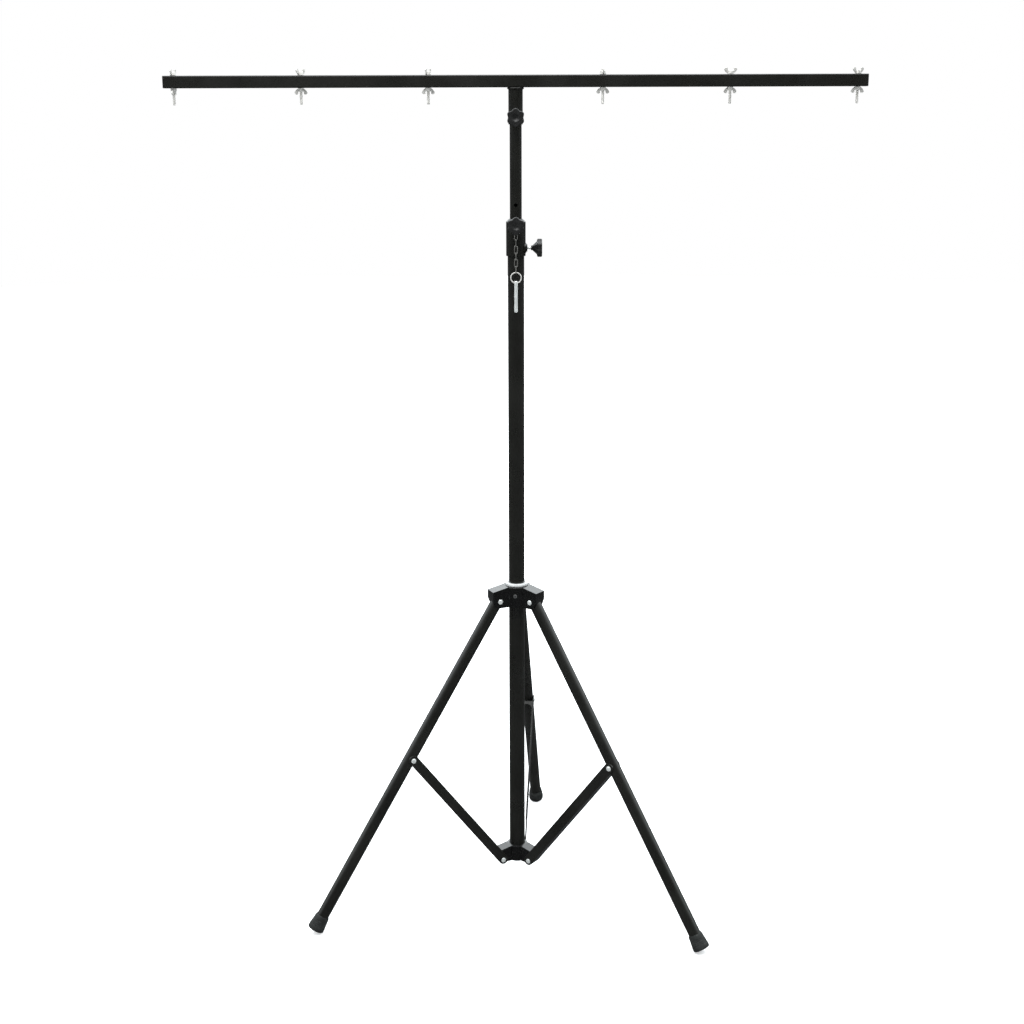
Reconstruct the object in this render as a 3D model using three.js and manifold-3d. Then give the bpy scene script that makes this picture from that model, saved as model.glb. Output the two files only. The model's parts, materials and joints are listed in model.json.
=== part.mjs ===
import * as THREE from 'three';
import Module from 'manifold-3d';
import { mergeVertices } from 'three/addons/utils/BufferGeometryUtils.js';

// Lighting stand with a crossbar: a folding tripod, a mast of two tubes and a bar for six lamps.
// Lengths are millimetres, angles are in radians, +Z is up and the stand is seen from -Y.
// The origin lies on the floor, under the middle of the whole stand.

const wasm = await Module();
wasm.setup();

// Running gap between pieces, and how far a cut runs past the face that it opens
const gap = 0.3;
const overrun = 5;

// Mast: the outer tube, and the inner tube that slides in it
const outerDiameter = 35;
const outerWall = 1.5;
const innerDiameter = 25;
const innerWall = 1.5;
const innerExposure = 192.8;
const guideRise = 231.5;
const pinHoleInset = 238;
const pinHolePitch = 160;
const pinHoleCount = 7;

// Clamp collar at the top of the outer tube, with its two clamp screws
const clampHeight = 77;
const clampWall = 2.8;
const clampBase = 1391;
const clampSeat = 46;
const clampShoulder = 6;
const clampShoulderInset = 6;
const clampLip = 5;
const bushTail = 12;
const bossRadius = 8.5;
const bossTaper = 2;
const bossStand = 3.7;
const sideScrewRise = 16.6;
const frontScrewRise = 65;

// Clamp knobs and their screws
const screwDiameter = 6;
const screwShow = 7.4;
const knobDiameter = 38;
const knobDepth = 23.6;
const knobHeadDepth = 11;
const knobNeckRadius = 5;
const knobNeckShare = 0.25;
const knobLobes = 6;
const knobLobeDepth = 3;
const knobEdge = 2;
const knobDishRadius = 11;
const knobDishDepth = 2.5;

// Crossbar, its end caps and the socket welded under it
const barLength = 1450;
const barSide = 25;
const barWall = 1.5;
const barCorner = 2;
const capThickness = 2.5;
const capPlugDepth = 14;
const capPlugWall = 2;
const socketLength = 74;
const socketWall = 2.1;
const socketScrewRise = 14;
const weldLeg = 2.6;

// Fixture bolts through the crossbar, with a wing nut under each
const boltDiameter = 6;
const boltInset = 20;
const boltPitch = 262.5;
const boltsPerSide = 3;
const boltReach = 34;
const boltTip = 1.2;
const wingSpan = 27;
const wingRise = 13;
const wingThickness = 2.6;
const wingBaseRadius = 6.5;
const wingBaseTaper = 1.2;
const wingBaseRise = 7;
const wingLobeShare = 0.33;
const wingRootShare = 0.12;
const wingLobeTurn = 0.75 * Math.PI;
const boltTurnShares = [0.42, 0.3, 0.38, 0.52, 0.02, 0.14];
const nutTurnShares = [0.46, 0.12, 0.1, 0.06, 0.04, 0.02];

// Tripod: one leg turned a little off the line square to the crossbar
const legCount = 3;
const backLegTurn = 84 * Math.PI / 180;
const splay = 32.25 * Math.PI / 180;
const legDiameter = 27;
const legWall = 1.5;
const legReach = 837.3;
const bracePoint = 402;
const braceOffset = 3.5;
const braceLength = 358;

// Rubber feet
const footRadius = 18.7;
const footTopRadius = 15.6;
const footHeight = 35;
const footSole = 6;
const footBand = 8;
const footEdge = 1.8;

// Channel braces, open to the leg that they fold around
const braceWall = 1.5;
const braceHeight = 22;
const braceWebSide = 12;
const braceWebStart = 8;
const braceForkLength = 60;

// Rivets at the leg and brace pivots
const rivetDiameter = 6;
const rivetHeadRadius = 5.6;
const rivetHeadRise = 2.6;

// Sliding hub that the legs hang from
const hubPivotRadius = 46.5;
const hubReach = 64;
const hubPlate = 2;
const hubBarrelRadius = 31;
const hubBarrelDrop = 15;
const hubRoofRise = 31.5;
const hubRoofFall = 8;
const hubRoofWall = 3;
const hubEarRise = 5;
const hubEarSweep = 35 * Math.PI / 180;
const hubScrewRise = 12.5;
const hubScrewDiameter = 5;
const hubScrewHeadRadius = 4.2;
const hubScrewHeadRise = 3;
const hexKeyRadius = 1.8;
const hexKeyDepth = 1.6;

// Nylon bush between the hub and the mast, with the pale rim that stands on the hub
const bushWall = 3.2;
const bushRimRadius = 26;
const bushRimRise = 5.5;
const bushRimEdge = 2.5;

// Lower collar at the foot of the mast, with a lug for each brace
const lowerPivotRadius = 42;
const lugEndRadius = 6.5;
const lugTopRadius = 46;
const collarWall = 6.2;
const collarHeight = 38;
const collarFall = 7;
const plugFlange = 2;
const plugSpigot = 14;

// Guide cup on the bottom end of the inner tube
const guideHeight = 40;
const guideFloor = 3;

// Safety pin on its ring and chain, hung from a screw in the clamp collar
const chainScrewDrop = 17;
const chainScrewDiameter = 3;
const chainScrewHeadRadius = 3.2;
const chainScrewHeadRise = 2;
const linkWire = 2;
const linkWidth = 8;
const linkInside = 14.3;
const linkCount = 6;
const ringDiameter = 24.5;
const ringWire = 2.5;
const pinDiameter = 7.2;
const pinLength = 66;
const pinEyeRadius = 2;
const pinEyeInset = 3.9;
const pinChamfer = 1.2;

// Radii and heights that follow from the sizes above
const outerRadius = outerDiameter / 2;
const outerBore = outerRadius - outerWall;
const innerRadius = innerDiameter / 2;
const legRadius = legDiameter / 2;
const screwRadius = screwDiameter / 2;
const boltRadius = boltDiameter / 2;
const rivetRadius = rivetDiameter / 2;
const clampBore = outerRadius + gap;
const clampRadius = clampBore + clampWall;
const socketBore = innerRadius + gap;
const socketRadius = socketBore + socketWall;
const channelInside = legDiameter + 2 * gap;
const channelOutside = channelInside + 2 * braceWall;
const hubBore = outerRadius + gap + bushWall + gap;
const bossFace = clampRadius + bossStand;
const linkRadius = linkWire / 2;
const ringRadius = (ringDiameter - ringWire) / 2;
const chainPlane = clampRadius + gap + linkWidth / 2;
const socketLow = clampBase + clampHeight + innerExposure;
const innerTop = socketLow + socketLength;
const barHeight = innerTop + gap + barSide / 2;
const innerLength = innerTop - gap - guideFloor - guideRise;

// Numbers of facets round the different pieces
const tubeSides = 24;
const legSides = 18;
const knobSides = 30;
const holeSides = 8;
const smallSides = 10;
const wireSides = 6;
const ringSteps = 18;
const linkSteps = 10;
const arcSteps = 3;
const headSteps = 2;
const hexSides = 6;

// Share of an edge's width at which its rounding turns
const edgeShare = 1 / 3;

// Materials
const blackCoat = { color: 0x17181a, roughness: 0.42, metalness: 0.35 };
const blackPlastic = { color: 0x1b1c1e, roughness: 0.5, metalness: 0 };
const blackRubber = { color: 0x222322, roughness: 0.85, metalness: 0 };
const paleNylon = { color: 0xc9cbcd, roughness: 0.4, metalness: 0 };
const zincSteel = { color: 0xc4c6c4, roughness: 0.3, metalness: 0.9 };

// Joining and cutting closed shapes
function solidOf(geometry) {
  const plain = geometry.clone();
  plain.deleteAttribute('normal');
  plain.deleteAttribute('uv');
  const merged = mergeVertices(plain);
  return new wasm.Manifold(new wasm.Mesh({
    numProp: 3,
    vertProperties: new Float32Array(merged.attributes.position.array),
    triVerts: new Uint32Array(merged.index.array),
  }));
}

function geometryOf(solid) {
  const mesh = solid.getMesh();
  const geometry = new THREE.BufferGeometry();
  geometry.setAttribute('position', new THREE.BufferAttribute(mesh.vertProperties, 3));
  geometry.setIndex(new THREE.BufferAttribute(mesh.triVerts, 1));
  geometry.computeVertexNormals();
  return geometry;
}

function joined(first, ...others) {
  return geometryOf(others.reduce((solid, other) => solid.add(solidOf(other)), solidOf(first)));
}

function cut(body, ...tools) {
  return geometryOf(tools.reduce((solid, tool) => solid.subtract(solidOf(tool)), solidOf(body)));
}

// Basic shapes, all standing along Z
function turned(points, sides) {
  const profile = points.map(([radius, height]) => new THREE.Vector2(radius, height));
  return new THREE.LatheGeometry(profile, sides).rotateX(Math.PI / 2);
}

function rod(radius, low, high, sides) {
  const length = high - low;
  return new THREE.CylinderGeometry(radius, radius, length, sides)
    .rotateX(Math.PI / 2)
    .translate(0, 0, low + length / 2);
}

function tube(bore, radius, low, high, sides) {
  return turned([[bore, low], [radius, low], [radius, high], [bore, high], [bore, low]], sides);
}

function slab(shape, thickness) {
  return new THREE.ExtrudeGeometry(shape, { depth: thickness, bevelEnabled: false, curveSegments: arcSteps })
    .rotateX(Math.PI / 2)
    .translate(0, thickness / 2, 0);
}

function prism(shape, low, high) {
  return new THREE.ExtrudeGeometry(shape, { depth: high - low, bevelEnabled: false, curveSegments: arcSteps })
    .translate(0, 0, low);
}

// A rod turned to lie along X, along -Y or across an arm, along Y
function alongX(geometry) {
  return geometry.rotateY(Math.PI / 2);
}

function towardsFront(geometry) {
  return geometry.rotateX(Math.PI / 2);
}

function crossRod(radius, halfLength, x, z) {
  return towardsFront(rod(radius, -halfLength, halfLength, holeSides)).translate(x, 0, z);
}

// A square outline with round corners
function roundedSquare(side, corner) {
  const edge = side / 2;
  const inset = edge - corner;
  const shape = new THREE.Shape();
  shape.absarc(inset, inset, corner, 0, Math.PI / 2);
  shape.absarc(-inset, inset, corner, Math.PI / 2, Math.PI);
  shape.absarc(-inset, -inset, corner, Math.PI, 1.5 * Math.PI);
  shape.absarc(inset, -inset, corner, 1.5 * Math.PI, 2 * Math.PI);
  shape.closePath();
  return shape;
}

// A closed loop of round wire in the XZ plane: a ring where straight is 0, and else a chain link
function wireLoop(wireRadius, bendRadius, straight, steps) {
  const positions = [];
  const faces = [];
  for (let step = 0; step < steps; step++) {
    const turn = 2 * Math.PI * (step + 0.5) / steps;
    const out = new THREE.Vector2(Math.cos(turn), Math.sin(turn));
    const centre = out.clone().multiplyScalar(bendRadius);
    centre.y += Math.sign(out.y) * straight / 2;
    for (let side = 0; side < wireSides; side++) {
      const roll = 2 * Math.PI * side / wireSides;
      const reach = wireRadius * Math.cos(roll);
      positions.push(centre.x + out.x * reach, wireRadius * Math.sin(roll), centre.y + out.y * reach);
      const a = step * wireSides + side;
      const b = step * wireSides + (side + 1) % wireSides;
      const c = ((step + 1) % steps) * wireSides + side;
      const d = ((step + 1) % steps) * wireSides + (side + 1) % wireSides;
      faces.push(a, b, c, b, d, c);
    }
  }
  const geometry = new THREE.BufferGeometry();
  geometry.setAttribute('position', new THREE.Float32BufferAttribute(positions, 3));
  geometry.setIndex(faces);
  geometry.computeVertexNormals();
  return geometry;
}

function piece(name, geometry, finish) {
  const mesh = new THREE.Mesh(geometry, new THREE.MeshStandardMaterial(finish));
  mesh.name = name;
  return mesh;
}

function at(object, x, y, z) {
  object.position.set(x, y, z);
  return object;
}

// Domed profile of a rivet or screw head, from its rim to its crown
function dome(radius, seat, rise) {
  const points = [];
  for (let step = 0; step <= headSteps; step++) {
    const turn = (step / headSteps) * Math.PI / 2;
    const reach = step === headSteps ? 0 : radius * Math.cos(turn);
    points.push([reach, seat + rise * Math.sin(turn)]);
  }
  return points;
}

// A rivet with a dome at both ends, or with one dome and a plain end
function rivet(halfGrip) {
  const upper = dome(rivetHeadRadius, halfGrip, rivetHeadRise);
  const lower = upper.map(([radius, height]) => [radius, -height]).reverse();
  const shank = [[rivetRadius, -halfGrip], [rivetRadius, halfGrip]];
  return towardsFront(turned([...lower, ...shank, ...upper], smallSides));
}

function rivetEnd(low, seat, direction) {
  const head = turned([[0, low], [rivetRadius, low], [rivetRadius, seat],
    ...dome(rivetHeadRadius, seat, rivetHeadRise)], smallSides);
  return head.rotateX(direction * Math.PI / 2);
}

// Clamp knob with its screw moulded in, along Z from its neck at 0 to its dished face
function knobOutline(radius) {
  const shape = new THREE.Shape();
  for (let step = 0; step < knobSides; step++) {
    const turn = 2 * Math.PI * step / knobSides;
    const hollow = (1 - Math.cos(knobLobes * turn)) / 2;
    const reach = radius - knobLobeDepth * hollow;
    const draw = step === 0 ? 'moveTo' : 'lineTo';
    shape[draw](reach * Math.cos(turn), reach * Math.sin(turn));
  }
  shape.closePath();
  return shape;
}

function knob(screwReach) {
  const radius = knobDiameter / 2;
  const headLow = knobDepth - knobHeadDepth;
  const head = new THREE.ExtrudeGeometry(knobOutline(radius - knobEdge), {
    depth: knobHeadDepth - 2 * knobEdge,
    bevelEnabled: true,
    bevelThickness: knobEdge,
    bevelSize: knobEdge,
    bevelSegments: 1,
  }).translate(0, 0, headLow + knobEdge);
  const flare = radius - knobLobeDepth - knobEdge;
  const neck = turned([[0, 0], [knobNeckRadius, 0], [knobNeckRadius, headLow * knobNeckShare],
    [flare, headLow + knobEdge], [0, headLow + knobEdge]], smallSides);
  const ball = (knobDishRadius ** 2 + knobDishDepth ** 2) / (2 * knobDishDepth);
  const dish = turned([[0, knobDepth - knobDishDepth],
    [knobDishRadius / 2, knobDepth + ball - knobDishDepth - Math.sqrt(ball ** 2 - knobDishRadius ** 2 / 4)],
    [knobDishRadius, knobDepth], [knobDishRadius, knobDepth + overrun],
    [0, knobDepth + overrun]], smallSides);
  const screw = turned([[0, -screwReach], [screwRadius - boltTip, -screwReach],
    [screwRadius, boltTip - screwReach], [screwRadius, knobNeckRadius], [0, knobNeckRadius]], smallSides);
  return cut(joined(head, neck, screw), dish);
}

function clampKnob(name, face) {
  const start = face + screwShow;
  const mesh = piece(name, knob(start - innerRadius - gap), blackPlastic);
  mesh.geometry.translate(0, 0, start);
  return mesh;
}

// A tapered boss that stands out of a tube's wall, along Z from inside the wall to its face
function boss(low, face) {
  const rim = face - bossTaper;
  return turned([[0, low], [bossRadius + bossTaper, low], [bossRadius + bossTaper, rim - bossStand / 2],
    [bossRadius, rim], [bossRadius - bossTaper / 2, face], [0, face]], smallSides);
}

// Outer tube, end plug and lower collar
function roofHeight(radius, innerEdge, outerEdge, top, fall) {
  return top - fall * (radius - innerEdge) / (outerEdge - innerEdge);
}

function outerTube() {
  const top = clampBase + clampSeat - gap;
  const body = tube(outerBore, outerRadius, 0, top, tubeSides);
  const screwHole = alongX(rod(screwRadius + gap, 0, outerRadius + overrun, holeSides))
    .translate(0, 0, clampBase + sideScrewRise);
  return cut(body, screwHole);
}

function mastEndPlug() {
  const spigot = outerBore - gap;
  const bore = spigot - outerWall;
  return turned([[0, -gap - plugFlange], [outerRadius, -gap - plugFlange], [outerRadius, -gap],
    [spigot, -gap], [spigot, plugSpigot], [bore, plugSpigot], [bore, 0], [0, 0]], tubeSides);
}

function lowerCollar() {
  const bore = outerRadius + gap;
  const ring = bore + collarWall;
  const middle = (bore + ring) / 2;
  const roof = (radius) => roofHeight(radius, bore, lugTopRadius, collarHeight, collarFall);
  const barrel = turned([[bore, 0], [ring, 0], [ring, roof(ring)], [bore, roof(bore)],
    [bore, 0]], tubeSides);
  const outline = new THREE.Shape();
  outline.moveTo(middle, 0);
  outline.absarc(lowerPivotRadius, lugEndRadius, lugEndRadius, -Math.PI / 2, 0);
  outline.lineTo(lugTopRadius, roof(lugTopRadius));
  outline.lineTo(middle, roof(middle));
  outline.closePath();
  const lugs = [];
  const holes = [];
  for (let arm = 0; arm < legCount; arm++) {
    const turn = backLegTurn + 2 * Math.PI * arm / legCount;
    lugs.push(slab(outline, legDiameter).rotateZ(turn));
    holes.push(crossRod(rivetRadius + gap, legDiameter, lowerPivotRadius, lugEndRadius).rotateZ(turn));
  }
  return cut(joined(barrel, ...lugs), ...holes);
}

// Clamp collar: a stepped sleeve with a boss for each clamp screw, and the bush inside it
function clampCollar() {
  const neck = clampRadius - clampShoulderInset;
  const body = turned([[clampBore, 0], [clampRadius, 0], [clampRadius, clampHeight - clampShoulder],
    [neck, clampHeight], [socketBore, clampHeight], [socketBore, clampHeight - clampLip],
    [outerBore, clampHeight - clampLip], [outerBore, clampSeat], [clampBore, clampSeat],
    [clampBore, 0]], tubeSides);
  const sideBoss = alongX(boss(clampBore + gap, bossFace)).translate(0, 0, sideScrewRise);
  const frontBoss = towardsFront(boss(clampBore + gap, bossFace)).translate(0, 0, frontScrewRise);
  const sideHole = alongX(rod(screwRadius + gap, 0, bossFace + overrun, holeSides))
    .translate(0, 0, sideScrewRise);
  const frontHole = towardsFront(rod(screwRadius + gap, 0, bossFace + overrun, holeSides))
    .translate(0, 0, frontScrewRise);
  const chainBore = rod(chainScrewDiameter / 2 + gap, clampBore - overrun, clampRadius + overrun, holeSides);
  const chainHole = towardsFront(chainBore).translate(0, 0, frontScrewRise - chainScrewDrop);
  return cut(joined(body, sideBoss, frontBoss), sideHole, frontHole, chainHole);
}

function clampBush() {
  const body = tube(socketBore, outerBore - gap, -bushTail, clampHeight - clampLip - gap, tubeSides);
  const sideHole = alongX(rod(screwRadius + gap, 0, outerRadius, holeSides)).translate(0, 0, sideScrewRise);
  const frontHole = towardsFront(rod(screwRadius + gap, 0, outerRadius, holeSides))
    .translate(0, 0, frontScrewRise);
  return cut(body, sideHole, frontHole);
}

function chainScrew() {
  const seat = chainPlane + linkRadius + gap;
  const shank = chainScrewDiameter / 2;
  return towardsFront(turned([[0, clampBore + gap], [shank, clampBore + gap], [shank, seat],
    ...dome(chainScrewHeadRadius, seat, chainScrewHeadRise)], smallSides));
}

// One link in the XZ plane, with its top bend round the origin's wire, and the ring and pin below
function chainLink() {
  const bend = (linkWidth - linkWire) / 2;
  const straight = linkInside - 2 * (bend - linkRadius);
  return wireLoop(linkRadius, bend, straight, linkSteps).translate(0, 0, -linkInside / 2);
}

function pinRing() {
  return wireLoop(ringWire / 2, ringRadius, 0, ringSteps);
}

function safetyPin() {
  const radius = pinDiameter / 2;
  const tip = pinEyeInset - pinLength;
  const body = turned([[0, tip], [radius - pinChamfer, tip], [radius, tip + pinChamfer],
    [radius, pinEyeInset - pinChamfer], [radius - pinChamfer, pinEyeInset], [0, pinEyeInset]], smallSides);
  return cut(body, alongX(rod(pinEyeRadius, -pinDiameter, pinDiameter, holeSides)));
}

// Sliding hub: a barrel with three roofed pairs of plates that hold the legs
function hub() {
  const roof = (radius) => roofHeight(radius, bushRimRadius, hubReach, hubRoofRise, hubRoofFall);
  const barrel = turned([[hubBore, -hubBarrelDrop], [hubBarrelRadius, -hubBarrelDrop],
    [hubBarrelRadius, roof(hubBarrelRadius)], [bushRimRadius, hubRoofRise], [hubBore, hubRoofRise],
    [hubBore, -hubBarrelDrop]], tubeSides);
  const outline = new THREE.Shape();
  outline.moveTo(bushRimRadius, -hubBarrelDrop);
  outline.absarc(hubPivotRadius, 0, hubBarrelDrop, -Math.PI / 2, -hubEarSweep);
  outline.lineTo(hubReach, hubEarRise);
  outline.lineTo(hubReach, roof(hubReach));
  outline.lineTo(bushRimRadius, hubRoofRise);
  outline.closePath();
  const slot = new THREE.Shape();
  slot.moveTo(hubBarrelRadius, -hubBarrelDrop - overrun);
  slot.lineTo(hubReach + overrun, -hubBarrelDrop - overrun);
  slot.lineTo(hubReach + overrun, roof(hubReach + overrun) - hubRoofWall);
  slot.lineTo(hubBarrelRadius, roof(hubBarrelRadius) - hubRoofWall);
  slot.closePath();
  const arms = [];
  const tools = [];
  for (let arm = 0; arm < legCount; arm++) {
    const turn = backLegTurn + 2 * Math.PI * arm / legCount;
    arms.push(slab(outline, channelInside + 2 * hubPlate).rotateZ(turn));
    tools.push(slab(slot, channelInside).rotateZ(turn));
    tools.push(crossRod(rivetRadius + gap, legDiameter, hubPivotRadius, 0).rotateZ(turn));
  }
  const screwHole = alongX(rod(hubScrewDiameter / 2 + gap, 0, hubBarrelRadius + overrun, holeSides))
    .translate(0, 0, hubScrewRise).rotateZ(backLegTurn + Math.PI);
  return cut(joined(barrel, ...arms), ...tools, screwHole);
}

function hubBush() {
  const bore = outerRadius + gap;
  const sleeve = hubBore - gap;
  const seat = hubRoofRise + gap;
  const top = seat + bushRimRise;
  const body = turned([[bore, -hubBarrelDrop], [sleeve, -hubBarrelDrop], [sleeve, seat],
    [bushRimRadius, seat], [bushRimRadius, top - bushRimEdge],
    [bushRimRadius - bushRimEdge * edgeShare, top - bushRimEdge * edgeShare],
    [bushRimRadius - bushRimEdge, top], [bore, top], [bore, -hubBarrelDrop]], tubeSides);
  const screwHole = alongX(rod(hubScrewDiameter / 2 + gap, 0, hubBore + gap, holeSides))
    .translate(0, 0, hubScrewRise).rotateZ(backLegTurn + Math.PI);
  return cut(body, screwHole);
}

function hubLockScrew() {
  const shank = hubScrewDiameter / 2;
  const seat = hubBarrelRadius + gap;
  const crown = seat + hubScrewHeadRise;
  const body = turned([[0, outerRadius + gap], [shank, outerRadius + gap], [shank, seat],
    [hubScrewHeadRadius, seat], [hubScrewHeadRadius, crown], [0, crown]], smallSides);
  const key = rod(hexKeyRadius, crown - hexKeyDepth, crown + overrun, hexSides);
  return alongX(cut(body, key));
}

// Leg in its own frame: the hub pivot at 0 and the tube running down -Z
function legTube() {
  const end = gap + footSole - legReach;
  const body = tube(legRadius - legWall, legRadius, end, legRadius, legSides);
  const nose = new THREE.Shape();
  nose.moveTo(-legDiameter, 0);
  nose.lineTo(-legRadius, 0);
  nose.absarc(0, 0, legRadius, Math.PI, 0, true);
  nose.lineTo(legDiameter, 0);
  nose.lineTo(legDiameter, legDiameter);
  nose.lineTo(-legDiameter, legDiameter);
  nose.closePath();
  const hubHole = crossRod(rivetRadius + gap, legDiameter, 0, 0);
  const braceHole = crossRod(rivetRadius + gap, legDiameter, -braceOffset, -bracePoint);
  return cut(body, slab(nose, 2 * legDiameter), hubHole, braceHole);
}

function foot() {
  const low = -legReach;
  const bore = legRadius + gap;
  return turned([[0, low], [footRadius - footEdge, low], [footRadius, low + footEdge],
    [footRadius, low + footBand], [footTopRadius, low + footHeight - footEdge],
    [footTopRadius - footEdge / 2, low + footHeight], [bore, low + footHeight],
    [bore, low + footSole], [0, low + footSole]], legSides);
}

// Brace in its own frame: the leg pivot at 0, the collar pivot down -Z and the web on the -X side
function brace() {
  const end = braceHeight / 2;
  const middle = end - braceWebSide;
  const side = new THREE.Shape();
  side.absarc(middle, 0, end, 0, Math.PI);
  side.absarc(middle, -braceLength, end, Math.PI, 2 * Math.PI);
  side.closePath();
  const webFace = braceWall - braceWebSide;
  const open = braceHeight + overrun;
  const hollow = new THREE.Shape();
  hollow.moveTo(-open, open);
  hollow.lineTo(-open, -braceWebStart);
  hollow.lineTo(webFace, -braceWebStart);
  hollow.lineTo(webFace, braceForkLength - braceLength);
  hollow.lineTo(-open, braceForkLength - braceLength);
  hollow.lineTo(-open, -braceLength - open);
  hollow.lineTo(open, -braceLength - open);
  hollow.lineTo(open, open);
  hollow.closePath();
  const upperHole = crossRod(rivetRadius + gap, legDiameter, 0, 0);
  const lowerHole = crossRod(rivetRadius + gap, legDiameter, 0, -braceLength);
  return cut(slab(side, channelOutside), slab(hollow, channelInside), upperHole, lowerHole);
}

// Inner tube, with a row of pin holes in its front wall, and the guide cup on its bottom end
function innerTube() {
  const body = tube(innerRadius - innerWall, innerRadius, -innerLength, 0, tubeSides);
  const holes = [];
  for (let index = 0; index < pinHoleCount; index++) {
    holes.push(towardsFront(rod(pinDiameter / 2 + gap, 0, innerDiameter, holeSides))
      .translate(0, 0, -pinHoleInset - index * pinHolePitch));
  }
  return cut(body, ...holes);
}

function innerGuide() {
  const low = -innerLength - gap - guideFloor;
  return turned([[0, low], [outerBore - gap, low], [outerBore - gap, low + guideHeight],
    [innerRadius + gap, low + guideHeight], [innerRadius + gap, low + guideFloor],
    [0, low + guideFloor]], tubeSides);
}

// Crossbar parts in the bar's frame: the bar's axis is X through 0
function boltStations() {
  const stations = [];
  for (let index = 0; index < boltsPerSide; index++) {
    const station = barLength / 2 - boltInset - index * boltPitch;
    stations.push(-station, station);
  }
  return stations.sort((a, b) => a - b);
}

function crossbar() {
  const shape = roundedSquare(barSide, barCorner);
  shape.holes.push(roundedSquare(barSide - 2 * barWall, barCorner / 2));
  const reach = barLength / 2 - capThickness - gap;
  const body = alongX(prism(shape, -reach, reach));
  const holes = boltStations().map((station) => rod(boltRadius + gap, -barSide, barSide, holeSides)
    .translate(station, 0, 0));
  return cut(body, ...holes);
}

function crossbarCap() {
  const flange = prism(roundedSquare(barSide, barCorner), barLength / 2 - capThickness, barLength / 2);
  const inside = barSide - 2 * barWall - 2 * gap;
  const plugShape = roundedSquare(inside, barCorner / 2);
  plugShape.holes.push(roundedSquare(inside - 2 * capPlugWall, barCorner / 2));
  const flangeBack = barLength / 2 - capThickness;
  const plug = prism(plugShape, flangeBack - capPlugDepth, flangeBack + capThickness / 2);
  return alongX(joined(flange, plug));
}

function crossbarSocket() {
  const top = -barSide / 2 - gap;
  const low = top - socketLength;
  const body = turned([[socketBore, low], [socketRadius, low], [socketRadius, top - weldLeg],
    [socketRadius + weldLeg * edgeShare, top - weldLeg * edgeShare], [socketRadius + weldLeg, top],
    [socketBore, top], [socketBore, low]], tubeSides);
  const frontBoss = towardsFront(boss(socketBore + gap, socketRadius + bossStand))
    .translate(0, 0, low + socketScrewRise);
  const screwHole = towardsFront(rod(screwRadius + gap, 0, socketRadius + bossStand + overrun, holeSides))
    .translate(0, 0, low + socketScrewRise);
  return cut(joined(body, frontBoss), screwHole);
}

// Wings in the XZ plane, standing up from a round base at 0
function wings() {
  const half = wingSpan / 2;
  const lobe = wingRise * wingLobeShare;
  const lobeOut = half - lobe;
  const lobeUp = wingRise - lobe;
  const low = wingBaseRise * wingRootShare;
  const high = wingBaseRise * (1 - wingRootShare);
  const root = wingBaseRadius / 2;
  const shape = new THREE.Shape();
  shape.moveTo(-root, low);
  shape.lineTo(root, low);
  shape.quadraticCurveTo(lobeOut, low, half, lobeUp);
  shape.absarc(lobeOut, lobeUp, lobe, 0, wingLobeTurn);
  shape.quadraticCurveTo(wingBaseRadius, high, root, high);
  shape.lineTo(-root, high);
  shape.quadraticCurveTo(-wingBaseRadius, high, -lobeOut + lobe * Math.cos(Math.PI - wingLobeTurn),
    lobeUp + lobe * Math.sin(wingLobeTurn));
  shape.absarc(-lobeOut, lobeUp, lobe, Math.PI - wingLobeTurn, Math.PI);
  shape.quadraticCurveTo(-lobeOut, low, -root, low);
  return slab(shape, wingThickness);
}

function wingBase() {
  return turned([[0, 0], [wingBaseRadius, 0], [wingBaseRadius - wingBaseTaper, wingBaseRise],
    [0, wingBaseRise]], smallSides);
}

function wingNut() {
  const bore = rod(boltRadius + gap, -overrun, wingRise + overrun, holeSides);
  return cut(joined(wingBase(), wings()), bore).rotateX(Math.PI);
}

function fixtureBolt() {
  const reach = -barSide - gap - boltReach;
  const shank = turned([[0, reach], [boltRadius - boltTip, reach], [boltRadius, reach + boltTip],
    [boltRadius, wingBaseRise / 2], [0, wingBaseRise / 2]], smallSides);
  return joined(wingBase(), wings(), shank);
}

// Heights of the pivots: the hub's height over the lower collar's follows from the closed linkage
function hubRise(angle) {
  const pointOut = bracePoint * Math.sin(angle) - braceOffset * Math.cos(angle);
  const pointDown = bracePoint * Math.cos(angle) + braceOffset * Math.sin(angle);
  const reach = hubPivotRadius + pointOut - lowerPivotRadius;
  return pointDown + Math.sqrt(braceLength ** 2 - reach ** 2);
}

function braceSlope(angle) {
  const pointOut = bracePoint * Math.sin(angle) - braceOffset * Math.cos(angle);
  return Math.asin((hubPivotRadius + pointOut - lowerPivotRadius) / braceLength);
}

// The mast stands in its own frame, with 0 at the foot of the outer tube
const mast = new THREE.Group();
const hubHeight = lugEndRadius + hubRise(splay);
mast.add(piece('outer_tube', outerTube(), blackCoat));
mast.add(piece('mast_end_plug', mastEndPlug(), blackPlastic));
mast.add(piece('lower_collar', lowerCollar(), blackCoat));

// Clamp collar with its knobs, chain and pin
const clamp = at(new THREE.Group(), 0, 0, clampBase);
clamp.add(piece('clamp_collar', clampCollar(), blackCoat));
clamp.add(piece('clamp_bush', clampBush(), blackPlastic));
clamp.add(piece('chain_screw', chainScrew(), zincSteel).translateZ(frontScrewRise - chainScrewDrop));
const sideKnob = clampKnob('side_clamp_knob', bossFace);
sideKnob.rotation.y = Math.PI / 2;
clamp.add(at(sideKnob, 0, 0, sideScrewRise));
const frontKnob = clampKnob('front_clamp_knob', bossFace);
frontKnob.rotation.x = Math.PI / 2;
clamp.add(at(frontKnob, 0, 0, frontScrewRise));
mast.add(clamp);

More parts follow.
